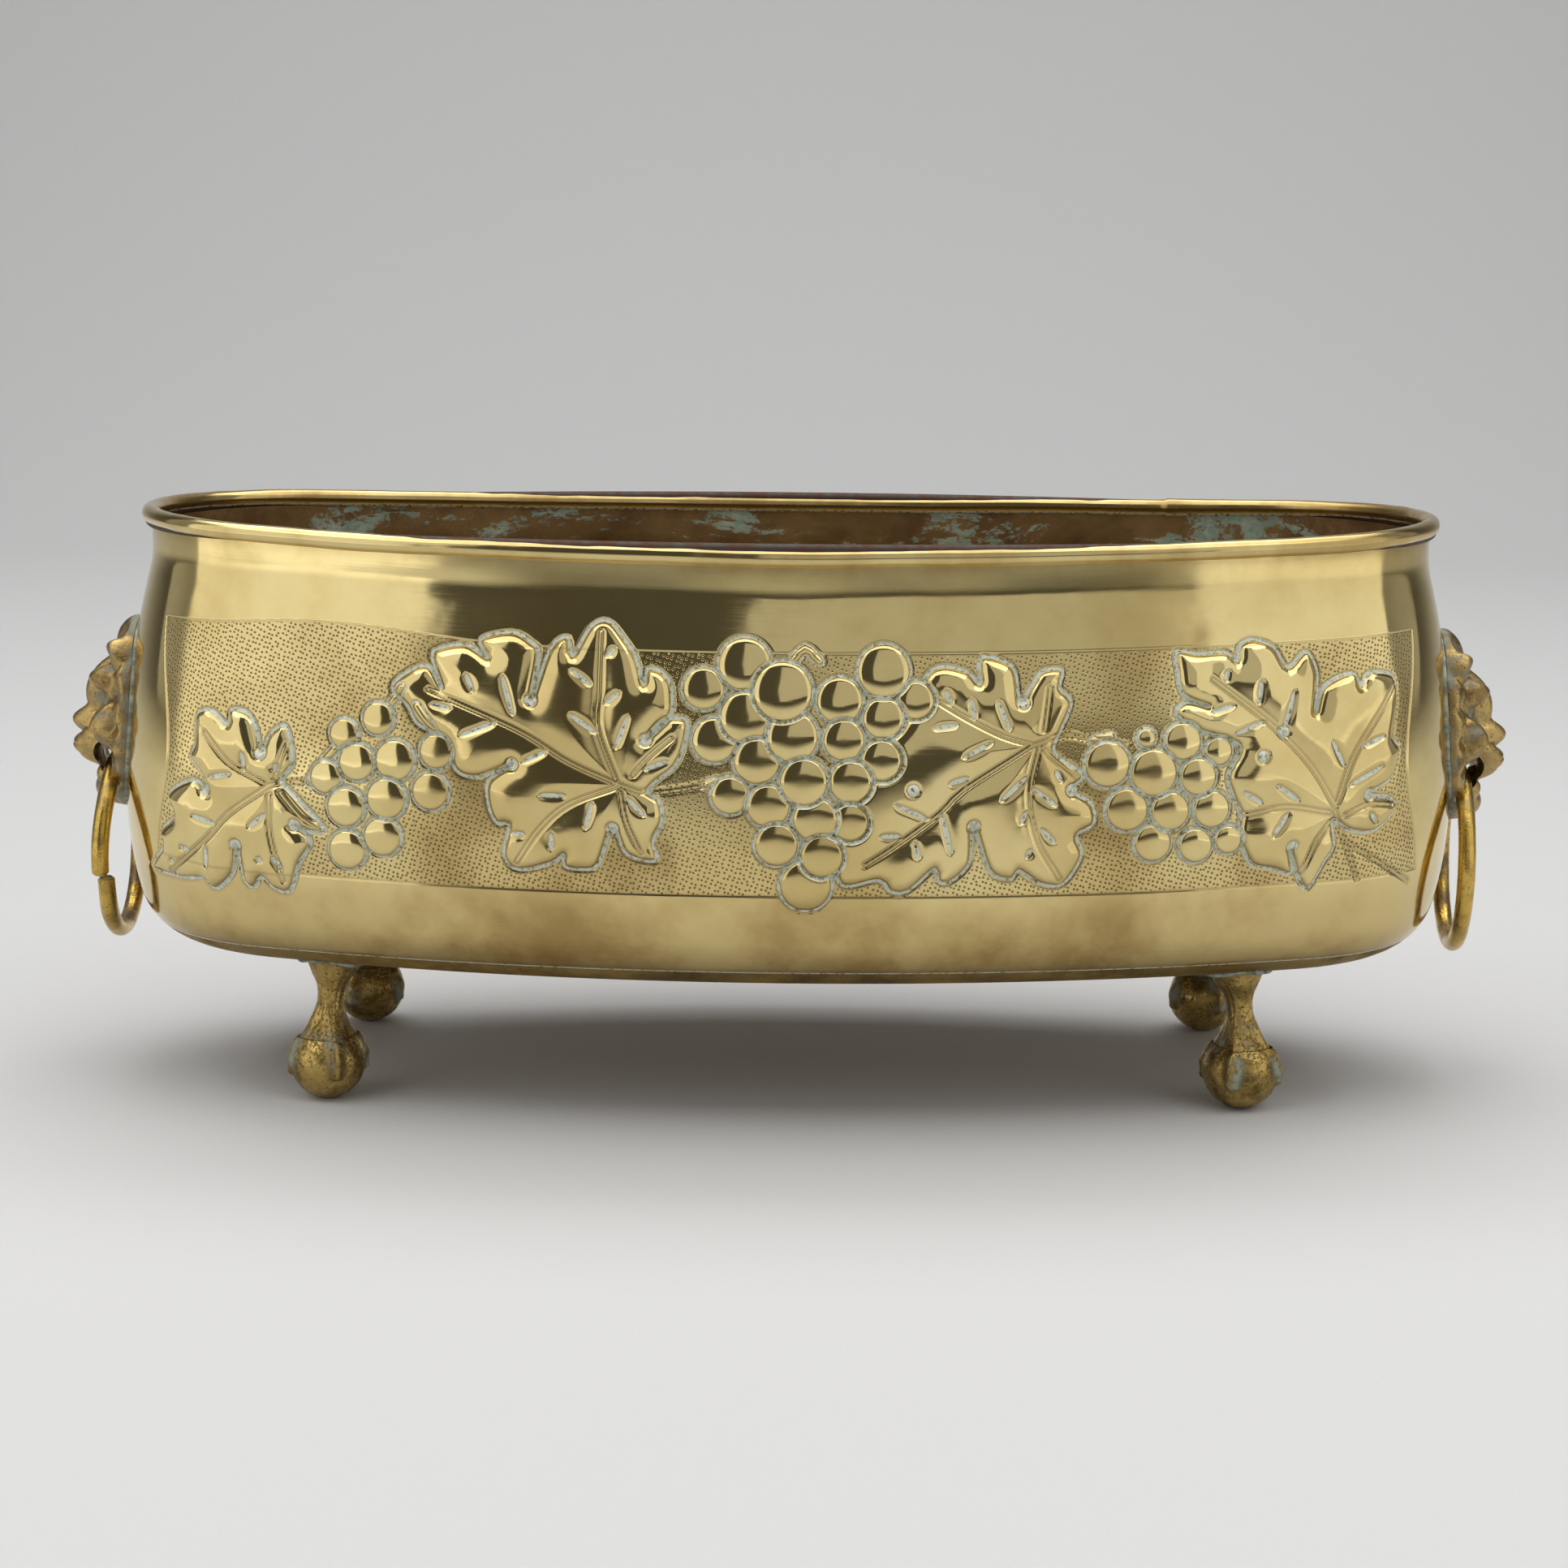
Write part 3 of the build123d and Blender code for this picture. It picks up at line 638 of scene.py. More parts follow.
def worn_casting(name, high, low, rough, pitting, green):
    """Sand-cast brass: bright where hands and cloths rub the high places, brown in the low ones, pitted
    by the sand, with grey-green corrosion and old polish where two surfaces meet."""
    material, tree, shader = new_finish(name)
    place = add(tree, "TexCoord", {}, {}, "Object")
    dirt = add(tree, "Attribute", {"attribute_name": "deposit_and_gap_shade"}, {}, "Fac")
    worn = add(tree, "Attribute", {"attribute_name": "tarnish"}, {}, "Fac")
    patch = add(tree, "TexNoise", {}, {"Vector": place, "Scale": 110.0, "Detail": 6.0, "Roughness": 0.65})
    # Sand pits 0.5 to 1 mm across
    sand = add(tree, "TexNoise", {}, {"Vector": place, "Scale": 900.0, "Detail": 3.0, "Roughness": 0.6})
    grain = add(tree, "MapRange", SMOOTH, {"Value": sand, "From Min": 0.32, "From Max": 0.5})
    cloud = add(tree, "MapRange", SMOOTH, {"Value": patch, "From Min": 0.40, "From Max": 0.66})
    brown = add(tree, "Math", TIMES, {0: cloud, 1: worn})
    brown = add(tree, "Math", PLUS, {0: brown, 1: add(tree, "Math", TIMES, {0: dirt, 1: 0.6})})
    metal = add(tree, "Mix", OVER, {0: brown, 6: colour(high), 7: colour(low)}, 2)
    hole = add(tree, "MapRange", SMOOTH, {"Value": sand, "From Min": 0.42, "From Max": 0.28})
    metal = add(tree, "Mix", OVER, {0: hole, 6: metal, 7: colour(low)}, 2)
    kept = add(tree, "Math", TIMES, {0: dirt, 1: green})
    broken = add(tree, "MapRange", SMOOTH, {"Value": patch, "From Min": 0.42, "From Max": 0.60})
    cake = add(tree, "Math", TIMES, {0: kept, 1: broken})
    metal = add(tree, "Mix", OVER, {0: cake, 6: metal, 7: colour("A9AF9C")}, 2)
    tree.links.new(metal, shader.inputs["Base Color"])
    tree.links.new(add(tree, "Math", MINUS, {0: 1.0, 1: cake}), shader.inputs["Metallic"])
    brown_rough = add(tree, "Math", TIMES, {0: brown, 1: 0.22})
    spread = add(tree, "Math", LOOSE_SUM, {0: brown_rough, 1: add(tree, "Math", TIMES, {0: cake, 1: 0.3})})
    tree.links.new(add(tree, "Math", PLUS, {0: rough, 1: spread}), shader.inputs["Roughness"])
    bump = add(tree, "Bump", {}, {"Height": grain, "Distance": pitting, "Strength": 0.8}, "Normal")
    swell = {"Height": patch, "Distance": 0.0006, "Strength": 0.5, "Normal": bump}
    tree.links.new(add(tree, "Bump", {}, swell, "Normal"), shader.inputs["Normal"])
    return material


def dull_metal(name, light, dark, metallic, rough, size, depth):
    """A soft or dull metal in two tones, in patches of about size metres, with a surface as uneven as
    depth."""
    material, tree, shader = new_finish(name)
    place = add(tree, "TexCoord", {}, {}, "Object")
    patch = add(tree, "TexNoise", {}, {"Vector": place, "Scale": 1 / size, "Detail": 5.0, "Roughness": 0.65})
    shade = add(tree, "MapRange", SMOOTH, {"Value": patch, "From Min": 0.36, "From Max": 0.64})
    metal = add(tree, "Mix", OVER, {0: shade, 6: colour(light), 7: colour(dark)}, 2)
    tree.links.new(metal, shader.inputs["Base Color"])
    limits = {"Value": patch, "From Min": 0.3, "From Max": 0.7, "To Min": rough, "To Max": rough + 0.2}
    tree.links.new(add(tree, "MapRange", SMOOTH, limits), shader.inputs["Roughness"])
    shader.inputs["Metallic"].default_value = metallic
    bump = add(tree, "Bump", {}, {"Height": patch, "Distance": depth}, "Normal")
    tree.links.new(bump, shader.inputs["Normal"])
    return material


BRASS = polished_sheet()
INSIDE = oxidised_sheet("oxidised_brass_inside", "98794C", "6C5030", 0.75, 0.55)  # brown, hardly shining
UNDERSIDE = oxidised_sheet("dull_brass_underside", "A88E54", "6E5730", 1.0, 0.66)  # dull gold, few splashes
MASK_BRASS = worn_casting("worn_cast_brass", "B79C62", "5F4B30", 0.27, 0.00008, 0.95)
FOOT_BRASS = worn_casting("sand_cast_brass", "BEA260", "55421F", 0.24, 0.00025, 0.8)
RING_BRASS = worn_casting("handled_brass_wire", "D0AE58", "6A5230", 0.18, 0.00005, 0.3)
# Grey and matt, with a green-white bloom
SOLDER = dull_metal("weathered_soft_solder", "A7AC9C", "6F7366", 0.35, 0.55, 0.004, 0.0002)
LEAD = dull_metal("soft_lead", "7C7E7E", "5A5B58", 0.8, 0.5, 0.006, 0.0001)  # blue-grey, hardly shining
TURNED = dull_metal("turned_brass", "A8894C", "7A6034", 1.0, 0.32, 0.005, 0.00005)  # dull yellow, satin
HAMMERED = dull_metal("hammered_brass", "97793F", "6A4F2A", 1.0, 0.38, 0.003, 0.0001)  # brown yellow, beaten
IRON = dull_metal("drawn_iron_wire", "4C4844", "5A3F30", 0.8, 0.5, 0.004, 0.00008)  # grey, a little rust


# ---------------------------------------------------------------- the wall

SIDE_JOINS = (-245.0, -82.0, 82.0, 245.0)  # u of the joins between the chased sheets of a side
SIDE_COLUMNS, END_COLUMNS = 327, 110
HAMMERING = 11  # first seed of the hammering, which both faces of the sheet share


def planished(u, v):
    """How far hammering and handling have moved the sheet in or out: broad waves, fading to nothing at the
    seam and the rim, and hammer facets about 11 mm across, plainest low on the belly."""
    hold = ease((v - SEAM) / 14) * ease((WALL_TOP - v) / 16)
    low = ease((100 - v) / 14)
    broad = 0.30 * lumps(u, v, 62, HAMMERING) + 0.14 * lumps(u, v, 29, HAMMERING + 1)
    facets = (0.018 + 0.065 * low) * lumps(u, v, 10.5, HAMMERING + 2) + 0.006 * lumps(u, v, 5, HAMMERING + 3)
    return hold * (broad + facets)


def wall_rows():
    """The rows of the wall's grid, as values of v: fine over the chased band, coarser above and below
    it."""
    runs = ((SEAM, DEEP_LOW, COARSE), (DEEP_LOW, DEEP_HIGH, FINE), (DEEP_HIGH, WALL_TOP, COARSE))
    rows = [np.linspace(a, b, int((b - a) / step) + 1, endpoint=False) for a, b, step in runs]
    return np.append(np.concatenate(rows), WALL_TOP)


def darkening(u, v, ground):
    """How brown and dark the sheet is: one stain above the last leaf, the seam, darker low on the belly
    below v 96, a darker line under the rim, and clouds about 24 mm across over the punched ground."""
    stain = 0.9 * groove(u - 146, 3) * groove(v - 176, 4)
    belly = 0.5 * groove(v - SEAM, 9) + 0.55 * ease((96 - v) / 22)
    under_rim = 0.5 * groove(WALL_TOP - v, 3)
    clouds = 0.42 * ground * ease(lumps(u, v, 24, 31) + 0.25)
    return stain + belly + under_rim + clouds


def wall_piece(name, u, shift):
    """One sheet of the outside of the wall. Its points stand out from the smooth wall by the hammering and
    the chasing, and its normals come from a grid one step larger all round, so neighbours meet unseen."""
    rows = wall_rows()
    us = np.concatenate([[2 * u[0] - u[1]], u, [2 * u[-1] - u[-2]]])
    vs = np.concatenate([[2 * rows[0] - rows[1]], rows, [2 * rows[-1] - rows[-2]]])
    grid_u, grid_v = np.meshgrid(us + shift, vs, indexing="ij")
    height, ground, dirt = chasing(us, vs)
    points = on_wall(grid_u, grid_v, height + planished(grid_u, grid_v))
    along, up = np.gradient(points, axis=0), np.gradient(points, axis=1)
    normal = np.cross(along, up)
    normal /= np.linalg.norm(normal, axis=-1, keepdims=True)
    inner = (slice(1, -1), slice(1, -1))
    piece = mesh_piece(name, points[inner].reshape(-1, 3), [grid_faces(len(u), len(rows))])
    piece.data.normals_split_custom_set_from_vertices(normal[inner].reshape(-1, 3))
    deposit_and_gap_shade = np.maximum(dirt, 0.7 * groove(grid_v - SEAM, 1.6))
    brown = darkening(grid_u, grid_v, ground)
    give(piece, {"matting": ground[inner], "deposit_and_gap_shade": deposit_and_gap_shade[inner], "tarnish": brown[inner]})
    give_girth(piece, grid_u[inner], grid_v[inner])
    return finish_piece(piece, "brass_sheet", "pot", BRASS, "body_wall")


def wall_outside():
    """Eight sheets: three chased ones along each side, and a plainer one round each end behind its mask."""
    for side, end, shift in (("front", "right", 0.0), ("back", "left", GIRTH / 2)):
        for number, (a, b) in enumerate(zip(SIDE_JOINS, SIDE_JOINS[1:]), 1):
            wall_piece(f"wall_{side}_{number}", np.linspace(a, b, SIDE_COLUMNS), shift)
        round_end = np.linspace(SIDE_JOINS[-1], GIRTH / 2 + SIDE_JOINS[0], END_COLUMNS)
        wall_piece(f"wall_{end}_end", round_end, shift)


def wall_inside():
    """The inside of the sheet: the outside's line set in by its thickness, with the dents the chasing
    leaves, and turned under at the seam to close the edge."""
    u = np.linspace(0, GIRTH, 520, endpoint=False)
    v = np.concatenate([[SEAM, SEAM], np.linspace(SEAM, WALL_TOP, 74)[1:]])
    grid_u, grid_v = np.meshgrid(u, v, indexing="ij")
    from_middle = np.mod(grid_u + GIRTH / 4, GIRTH / 2) - GIRTH / 4
    chased = groove(from_middle, 205) * groove(grid_v - 130, 34)
    dents = chased * (0.35 * lumps(grid_u, grid_v, 17, 5) - 0.75)
    points = on_wall(grid_u, grid_v, planished(grid_u, grid_v) + dents - SHEET)
    points[:, 0] = on_wall(u, np.full_like(u, SEAM), 0.0)
    faces = grid_faces(len(u), len(v), wrap_rows=True)[:, ::-1]
    piece = mesh_piece("wall_inside", points.reshape(-1, 3), [faces])
    finish_piece(piece, "brass_sheet", "pot", INSIDE, "body_wall")


def rolled_rim():
    """The rim's bead: a circle carried round the oval at s = -3.2, not quite even, with its lap on the
    back: past it the bead is a little fatter."""
    u = np.linspace(0, GIRTH, 900, endpoint=False)
    level = np.zeros_like(u)
    x, y, nx, ny = plan(u, -BEAD)
    lap = GIRTH / 2 - 150
    past = np.clip((u - lap + 30) / 30, 0, 1) * np.clip((lap - u) / 1.2, 0, 1)
    radius = BEAD + 0.10 * lumps(u, level, 31, 41) + 0.07 * lumps(u, level, 9, 42) + 0.55 * past
    z = RIM_HEIGHT + saddle(x, RIM_HEIGHT) + 0.25 * lumps(u, level, 48, 43)
    turn = np.linspace(0, TURN, 28, endpoint=False)
    out = radius[:, None] * np.cos(turn) * (1 + 0.03 * lumps(u, level, 13, 44)[:, None])
    rise = radius[:, None] * np.sin(turn)
    rings = np.stack([x[:, None] + out * nx[:, None], y[:, None] + out * ny[:, None], z[:, None] + rise], -1)
    bead = tube("rolled_rim", rings, closed=True)
    even = np.zeros_like(out)
    # A painted shadow: the bead's lower inner side, over the gap to the inside, is given a dark line through
    # the deposit channel, with pale polish crumbs in it.
    under = np.clip(-np.sin(turn) * 1.2, 0, 1) * np.clip(-np.cos(turn) + 0.4, 0, 1)
    browned = 0.35 + 0.6 * np.clip(-np.cos(turn), 0, 1)
    give(bead, {"matting": even, "deposit_and_gap_shade": 0.9 * under + even, "tarnish": browned + even})
    give_girth(bead, u[:, None] + even, RIM_HEIGHT + turn + even)
    finish_piece(bead, "brass_sheet", "pot", BRASS, "body_wall")


wall_outside()
wall_inside()
rolled_rim()


# ---------------------------------------------------------------- lion masks

MASK_LEVEL = 132.5  # height of the middle of a mask's plate on the straight wall
MASK_DROP = 0.3 * RIM_RISE  # takes off again what the pulled rim lifts the wall there
MASK_HALF_WIDTH, MASK_HALF_HEIGHT = 28.2, 35.0
PLATE, BED = 0.9, 0.55  # how far the plate's edge and its flat back stand off the wall

# The face as rounded lumps on the plate: across, height, half width, half height, how far it stands out.
# Lumps off the middle line come in pairs.
FACE = [
    (0, 138, 17, 22, 11.5),  # skull
    (0, 158, 9, 8, 6.5),  # forelock
    (7.4, 144, 6.8, 6.2, 15.2),  # brows
    (0, 138, 5.2, 16, 17.0),  # bridge of the nose
    (0, 127.5, 6.4, 7.0, 21.6),  # nose
    (5.4, 120.5, 7.4, 8.4, 20.2),  # muzzle
    (14.0, 129, 7.4, 9.5, 13.0),  # cheeks
    (0, 104.5, 7.6, 8, 12.6),  # chin
    (8.5, 110, 5.0, 7.0, 9.5),  # jaw
    (16.5, 154.5, 5.8, 6.6, 9.5),  # ears
]


def lion_relief(y, z):
    """How far the lion stands out of the wall at y, z, and how deep it lies in its hollows. Lumps are caps
    of ellipsoids joined by a fifth-power mean; eyes, nostrils, lips and whisker lines are struck in, and
    locks of mane run out from the face over the plate."""
    total = np.full(y.shape, 3.4**5)
    for across, level, half_width, half_height, out in FACE:
        for side in (-1, 1) if across else (1,):
            room = 1 - ((y - side * across) / half_width) ** 2 - ((z - level) / half_height) ** 2
            total += (out * np.clip(room, 0, 1) ** 0.6) ** 5
    relief = total ** (1 / 5)
    a, r = np.arctan2(z - 133, np.abs(y)), np.hypot(y / 0.82, z - 133)
    mane = ease((r - 17) / 5) * ease((35 - r) / 4)
    locks = np.cos(13 * a + 0.16 * r) + 0.25 * np.cos(29 * a - 0.2 * r + 1)
    relief += mane * (1.2 + 0.75 * locks)
    ay = np.abs(y)
    sockets = 3.0 * np.exp(-(((ay - 8.2) / 3.8) ** 2) - ((z - 136.8) / 2.8) ** 2)
    eyeballs = 2.0 * np.exp(-(((ay - 8.0) / 2.2) ** 2) - ((z - 137.2) / 1.8) ** 2)
    nostrils = 2.0 * np.exp(-(((ay - 2.7) / 1.2) ** 2) - ((z - 124.6) / 1.3) ** 2)
    lip = 1.4 * groove(y, 0.8) * ease((124 - z) / 3) * ease((z - 112) / 4)
    ears = 2.2 * np.exp(-(((ay - 16.5) / 2.4) ** 2) - ((z - 153) / 2.8) ** 2)
    frown = 1.3 * groove(ay - 3.2 - 0.05 * (z - 147) ** 2, 0.9) * groove(z - 151, 6)
    whiskers = 0.5 * np.clip(np.sin(1.9 * (z + 0.4 * ay)), 0, 1) * groove(ay - 6.8, 3.4) * groove(z - 120, 4)
    cuts = sockets - eyeballs + nostrils + lip + ears + frown + whiskers
    relief -= cuts
    lows = np.clip(cuts / 1.6, 0, 1) + 0.55 * mane * np.clip(-locks, 0, 1)
    return np.maximum(relief, 1.6), lows


def ring_sweep(side):
    """A solid holding everywhere the ring goes near its mask, 0.5 mm clear: at each station across, the
    wire's centre swings about the hinge on an arc, and the section is a round-cornered outline about that
    arc."""
    stations = np.linspace(-31, 31, 63)
    thick = RING_WIRE + 0.5
    drop = RING_RADIUS - np.sqrt(np.clip(RING_RADIUS**2 - stations**2, 0, None))
    swing = np.radians(np.linspace(-8, 112, 14))
    cap = np.radians(np.linspace(0, 120, 9))
    angle = np.concatenate([swing, swing[-1] + cap[1:], swing[0] - cap[:0:-1]])
    centre = np.concatenate([swing, np.full(8, swing[-1]), np.full(8, swing[0])])
    rings = []
    for y, d in zip(stations, drop):
        x = d * np.sin(centre) + thick * np.sin(angle)
        z = -d * np.cos(centre) - thick * np.cos(angle)
        rings.append(np.stack([side * (RING_X + x), 0 * x + y, RING_Z + z], -1))
    return tube("ring_sweep", np.array(rings))


def muzzle_hole(side):
    """The hole that the ring hangs in: a round bar across, 5.6 mm in radius in the middle, which widens as
    the cube of the way out to both cheeks."""
    turn = np.linspace(0, TURN, 40, endpoint=False)
    rings = []
    for y in np.linspace(-15, 15, 13):
        radius = 5.6 + 2.4 * (abs(y) / 15) ** 3
        x = RING_X + 0.2 + radius * np.cos(turn)
        z = RING_Z + 1.9 + radius * np.sin(turn)
        rings.append(np.stack([side * x, 0 * turn + y, z], -1))
    return tube("muzzle_hole", np.array(rings))


def cut_away(piece, tools):
    """Cuts each tool out of a closed piece and removes the tool."""
    for tool in tools:
        cut = piece.modifiers.new("cut", "BOOLEAN")
        cut.object, cut.operation, cut.solver = tool, "DIFFERENCE", "EXACT"
        with bpy.context.temp_override(object=piece, active_object=piece):
            bpy.ops.object.modifier_apply(modifier=cut.name)
        mesh = tool.data
        bpy.data.objects.remove(tool)
        bpy.data.meshes.remove(mesh)


def lion_mask(side, name):
    """A cast lion's head lying on the pot's end: a polar grid, (angle, share of the way out), whose edge is
    an upright oval with seventeen soft scallops, lifted off the wall by the relief, over a flat back on the
    solder."""
    turns, steps = 300, 109
    a = np.linspace(0, TURN, turns, endpoint=False)[:, None]
    share = np.linspace(0, 1, steps + 1)[None, 1:]
    scallop = 1 - 0.022 * (1 - np.abs(np.cos(8.5 * (a - 0.5 * math.pi))))
    y = MASK_HALF_WIDTH * np.cos(a) * share * scallop
    z = MASK_LEVEL + MASK_HALF_HEIGHT * np.sin(a) * share * scallop
    relief, lows = lion_relief(y, z)
    rounded = np.sqrt(1 - ((share - 0.955) / 0.045).clip(0, 1) ** 2)
    relief = PLATE + (relief - PLATE) * rounded
    relief = relief + 0.16 * lumps(y + 200, z + 3 * side, 4.2, 51 + side) * rounded

    def at(y, z, height):
        return on_wall(np.mod(side * (RIGHT_END + y), GIRTH), z - MASK_DROP, height)

    middle = np.zeros(1), np.full(1, MASK_LEVEL)
    front, back = at(y, z, relief), at(y, z, BED)
    tips = [at(*middle, lion_relief(*middle)[0]), at(*middle, BED)]
    count = turns * steps
    points = np.concatenate([front.reshape(-1, 3), back.reshape(-1, 3), *tips])
    skin = grid_faces(turns, steps, wrap_rows=True)
    inner = np.arange(turns) * steps
    outer = inner + steps - 1
    next_inner, next_outer = np.roll(inner, -1), np.roll(outer, -1)
    tip = np.full(turns, 2 * count)
    edge = np.stack([outer + count, next_outer + count, next_outer, outer], 1)
    front_fan = np.stack([tip, next_inner, inner], 1)
    back_fan = np.stack([inner + count, next_inner + count, tip + 1], 1)
    faces = facing_out(points, [skin[:, ::-1], skin + count, edge, front_fan, back_fan])
    piece = mesh_piece("lion_mask_skin_" + name, points, faces)
    low = np.maximum(0.8 * lows, 0.8 * groove(share - 1, 0.02))
    worn = np.clip(1.35 - relief / 16, 0.25, 1)
    hidden = np.ones(count)
    give(piece, {"deposit_and_gap_shade": np.concatenate([low.ravel(), hidden, [0.0, 1.0]]),
                 "tarnish": np.concatenate([worn.ravel(), hidden, [0.2, 1.0]])})
    cut_away(piece, [ring_sweep(side), muzzle_hole(side)])
    return finish_piece(piece, "cast_brass", "pot", MASK_BRASS, "lion_mask_" + name)


def ring(side, name, gap_angle, step, yaw):
    """A ring of round wire hung in the muzzle: a circle of wire 6.4 mm thick carried round, butted at
    gap_angle, with one end sprung out by step and the whole turned by yaw about its own top."""
    stations = 260
    turn = np.radians(gap_angle) + np.linspace(0.02, TURN - 0.02, stations)
    around = np.linspace(0, TURN, 36, endpoint=False)
    share = np.linspace(0, 1, stations)
    wire = RING_WIRE - 0.10 + 0.07 * lumps(share * 200, 0 * share, 14, 61 + side, 200)
    to_end = np.minimum(share, 1 - share) * TURN * RING_RADIUS
    wire = wire * (1 - 0.25 * np.clip(1 - to_end / 0.8, 0, 1) ** 2)
    radius = RING_RADIUS + 0.25 * lumps(share * 200, 0 * share, 45, 71 + side, 200)
    out = step * ease((share - 0.80) / 0.2) - 0.3 * step * ease((0.1 - share) / 0.1)
    r = radius[:, None] + wire[:, None] * np.cos(around)
    y, z = r * np.cos(turn)[:, None], r * np.sin(turn)[:, None]
    x = out[:, None] + wire[:, None] * np.sin(around) + math.tan(math.radians(yaw)) * y
    rings = np.stack([side * (RING_X + x), y, RING_Z - RING_RADIUS + z], -1)
    piece = tube("hanging_ring_" + name, rings)
    top = np.clip((z + RING_RADIUS * 0.2) / RING_RADIUS, 0, 1)
    inner = np.clip(-np.cos(around), 0, 1) + 0 * r
    give(piece, {"deposit_and_gap_shade": 0.3 * inner + 0.5 * top**3, "tarnish": 0.45 + 0.5 * inner})
    return finish_piece(piece, "ring_brass", "ring_" + name, RING_BRASS, "ring_" + name)


lion_mask(1, "right")
lion_mask(-1, "left")
ring(1, "right", 20, 0.0, 3.2)
ring(-1, "left", 191.5, 1.5, 0.6)

for name in ("left", "right"):
    for node, material in (("mask_bed_", SOLDER), ("mask_screw_", TURNED), ("mask_washer_", LEAD)):
        bpy.data.objects[node + name].material_slots[0].material = material


# ---------------------------------------------------------------- feet

BALL, BALL_HEIGHT = 13.6, 13.5
AROUND = 128  # points round a foot
PAD = 0.35  # how far the foot's top is let into the solder and the pot
# Going up a foot above its ball: height, how far its middle has moved towards the pot's, half length and
# half width
LEG = [
    (22.5, 0.0, 9.0, 9.0), (27, 0.2, 6.6, 6.4), (31, 0.4, 5.2, 5.3),
    (36, 0.9, 4.5, 4.9), (41, 1.5, 5.2, 5.9), (45, 2.2, 7.2, 8.0),
    (48.5, 2.8, 9.6, 10.6), (51, 3.3, 11.4, 12.8), (53, 3.6, 12.2, 13.8),
]


def claws(a, rise, reach, ahead):
    """How far the claws stand out at angle a and at rise degrees above level: four bell-shaped ridges a
    quarter turn apart, narrower below, each swelling at two knuckles and a nail. Reach is the foot's
    radius."""
    width = 2.5 - 0.9 * np.clip((-rise + 2) / 20, 0, 1)
    along = ease((rise + 22) / 8) * (1 - ease((rise - 58) / 45))
    knuckles = 0.75 * groove(rise - 40, 11) + 0.65 * groove(rise - 12, 10) + 0.35 * groove(rise + 12, 6)
    claw = np.zeros((len(rise), AROUND))
    for step in range(4):
        off = np.angle(np.exp(1j * (a - ahead - step * math.pi / 2))) * np.maximum(reach, 5.0)
        claw = np.maximum(claw, (1.35 + knuckles) * along * groove(off, width))
    return claw


def solder_run(x, y, a, name, seed):
    """The solder round a foot's top: a flattened bead of uneven thickness along the line x, y, whose
    outward direction is a."""
    share = np.linspace(0, 1, AROUND, endpoint=False)
    bead = 1.0 + 0.45 * lumps(share * 80, 0 * share, 6, seed + 5, 80)
    bead += 0.25 * lumps(share * 80, 0 * share, 2.5, seed + 6, 80)
    x, y = x + 0.3 * np.cos(a), y + 0.3 * np.sin(a)
    turn = np.linspace(0, TURN, 12, endpoint=False)
    out = bead[:, None] * 1.25 * np.cos(turn)
    ox, oy = x[:, None] + out * np.cos(a)[:, None], y[:, None] + out * np.sin(a)[:, None]
    oz = underside(x, y)[:, None] - 0.15 + bead[:, None] * 0.8 * np.sin(turn)
    run = tube("solder_run_" + name, np.stack([ox, oy, oz], -1), closed=True)
    finish_piece(run, "solder", "pot", SOLDER, "foot_solder_" + name)


def foot(x, y, name, seed):
    """A cast ball-and-claw foot: angle by path. The path goes up the ball from a small flat, then up the
    leg, whose half sizes follow a smooth curve, and the leg's last rows are pressed to the pot."""
    toward = -math.copysign(1, x)
    back = -math.copysign(1, y)
    a = np.linspace(0, TURN, AROUND, endpoint=False)[None, :]
    lowest = math.asin(-BALL_HEIGHT / BALL)
    latitude = np.linspace(lowest + 0.02, math.radians(46), 74)
    leg = smooth_path(LEG, 0.6)
    z = np.concatenate([BALL_HEIGHT + BALL * np.sin(latitude), leg[:, 0]])[:, None]
    half = np.concatenate([np.tile((BALL * np.cos(latitude))[:, None], 2), leg[:, 2:]])
    shift = np.concatenate([0 * latitude, leg[:, 1]])[:, None]
    rise = np.concatenate([np.degrees(latitude), np.linspace(48, 150, len(leg))])[:, None]

    # The front claw points ahead, and 21 degrees towards the pot's end
    ahead = math.atan2(-back, 0) + math.radians(21) * (1 if x * y > 0 else -1)
    claw = claws(a, rise, half[:, :1], ahead)
    degrees = np.degrees(a) + 0 * z
    rough = 0.22 * lumps(degrees, z + 0 * a, 13, seed, 360) + 0.10 * lumps(degrees, z * 4, 7, seed + 1, 360)
    grow = claw + rough * ease(z / 3)
    px = (half[:, :1] + grow) * np.cos(a) + toward * shift
    py = (half[:, 1:] + grow) * np.sin(a) + back * shift * 0.7
    blend = ease((z - 45) / 8)
    pz = (z + 0 * a) * (1 - blend) + (underside(x + px, y + py) + PAD) * blend
    lid = np.linspace(0.9, 0.02, 5)[:, None]
    lid_x, lid_y = px[-1:] * lid, py[-1:] * lid
    lid_z = underside(x + lid_x, y + lid_y) + PAD
    rings = np.stack([x + np.vstack([px, lid_x]), y + np.vstack([py, lid_y]), np.vstack([pz, lid_z])], -1)
    rings[..., 2] = np.maximum(rings[..., 2], 0.0)
    piece = tube("ball_and_claw_" + name, rings)

    beside = np.clip(np.abs(np.gradient(claw, axis=1)) * 3.0, 0, 1)
    between = 0.9 * groove(rise - 58, 16) * (1 - np.clip(claw, 0, 1))
    low = np.maximum(np.maximum(beside, between), 0.8 * ease((z - 48) / 5))
    worn = np.clip(0.85 - 0.35 * claw, 0.2, 1) * (1 - 0.3 * ease((z - 30) / 15))
    hidden = np.ones((len(lid), AROUND))
    give(piece, {"deposit_and_gap_shade": np.vstack([low, hidden]), "tarnish": np.vstack([worn, hidden])})
    finish_piece(piece, "cast_brass", "pot", FOOT_BRASS, "foot_" + name)
    top = len(z) - 2
    solder_run(x + px[top], y + py[top], a[0], name, seed)


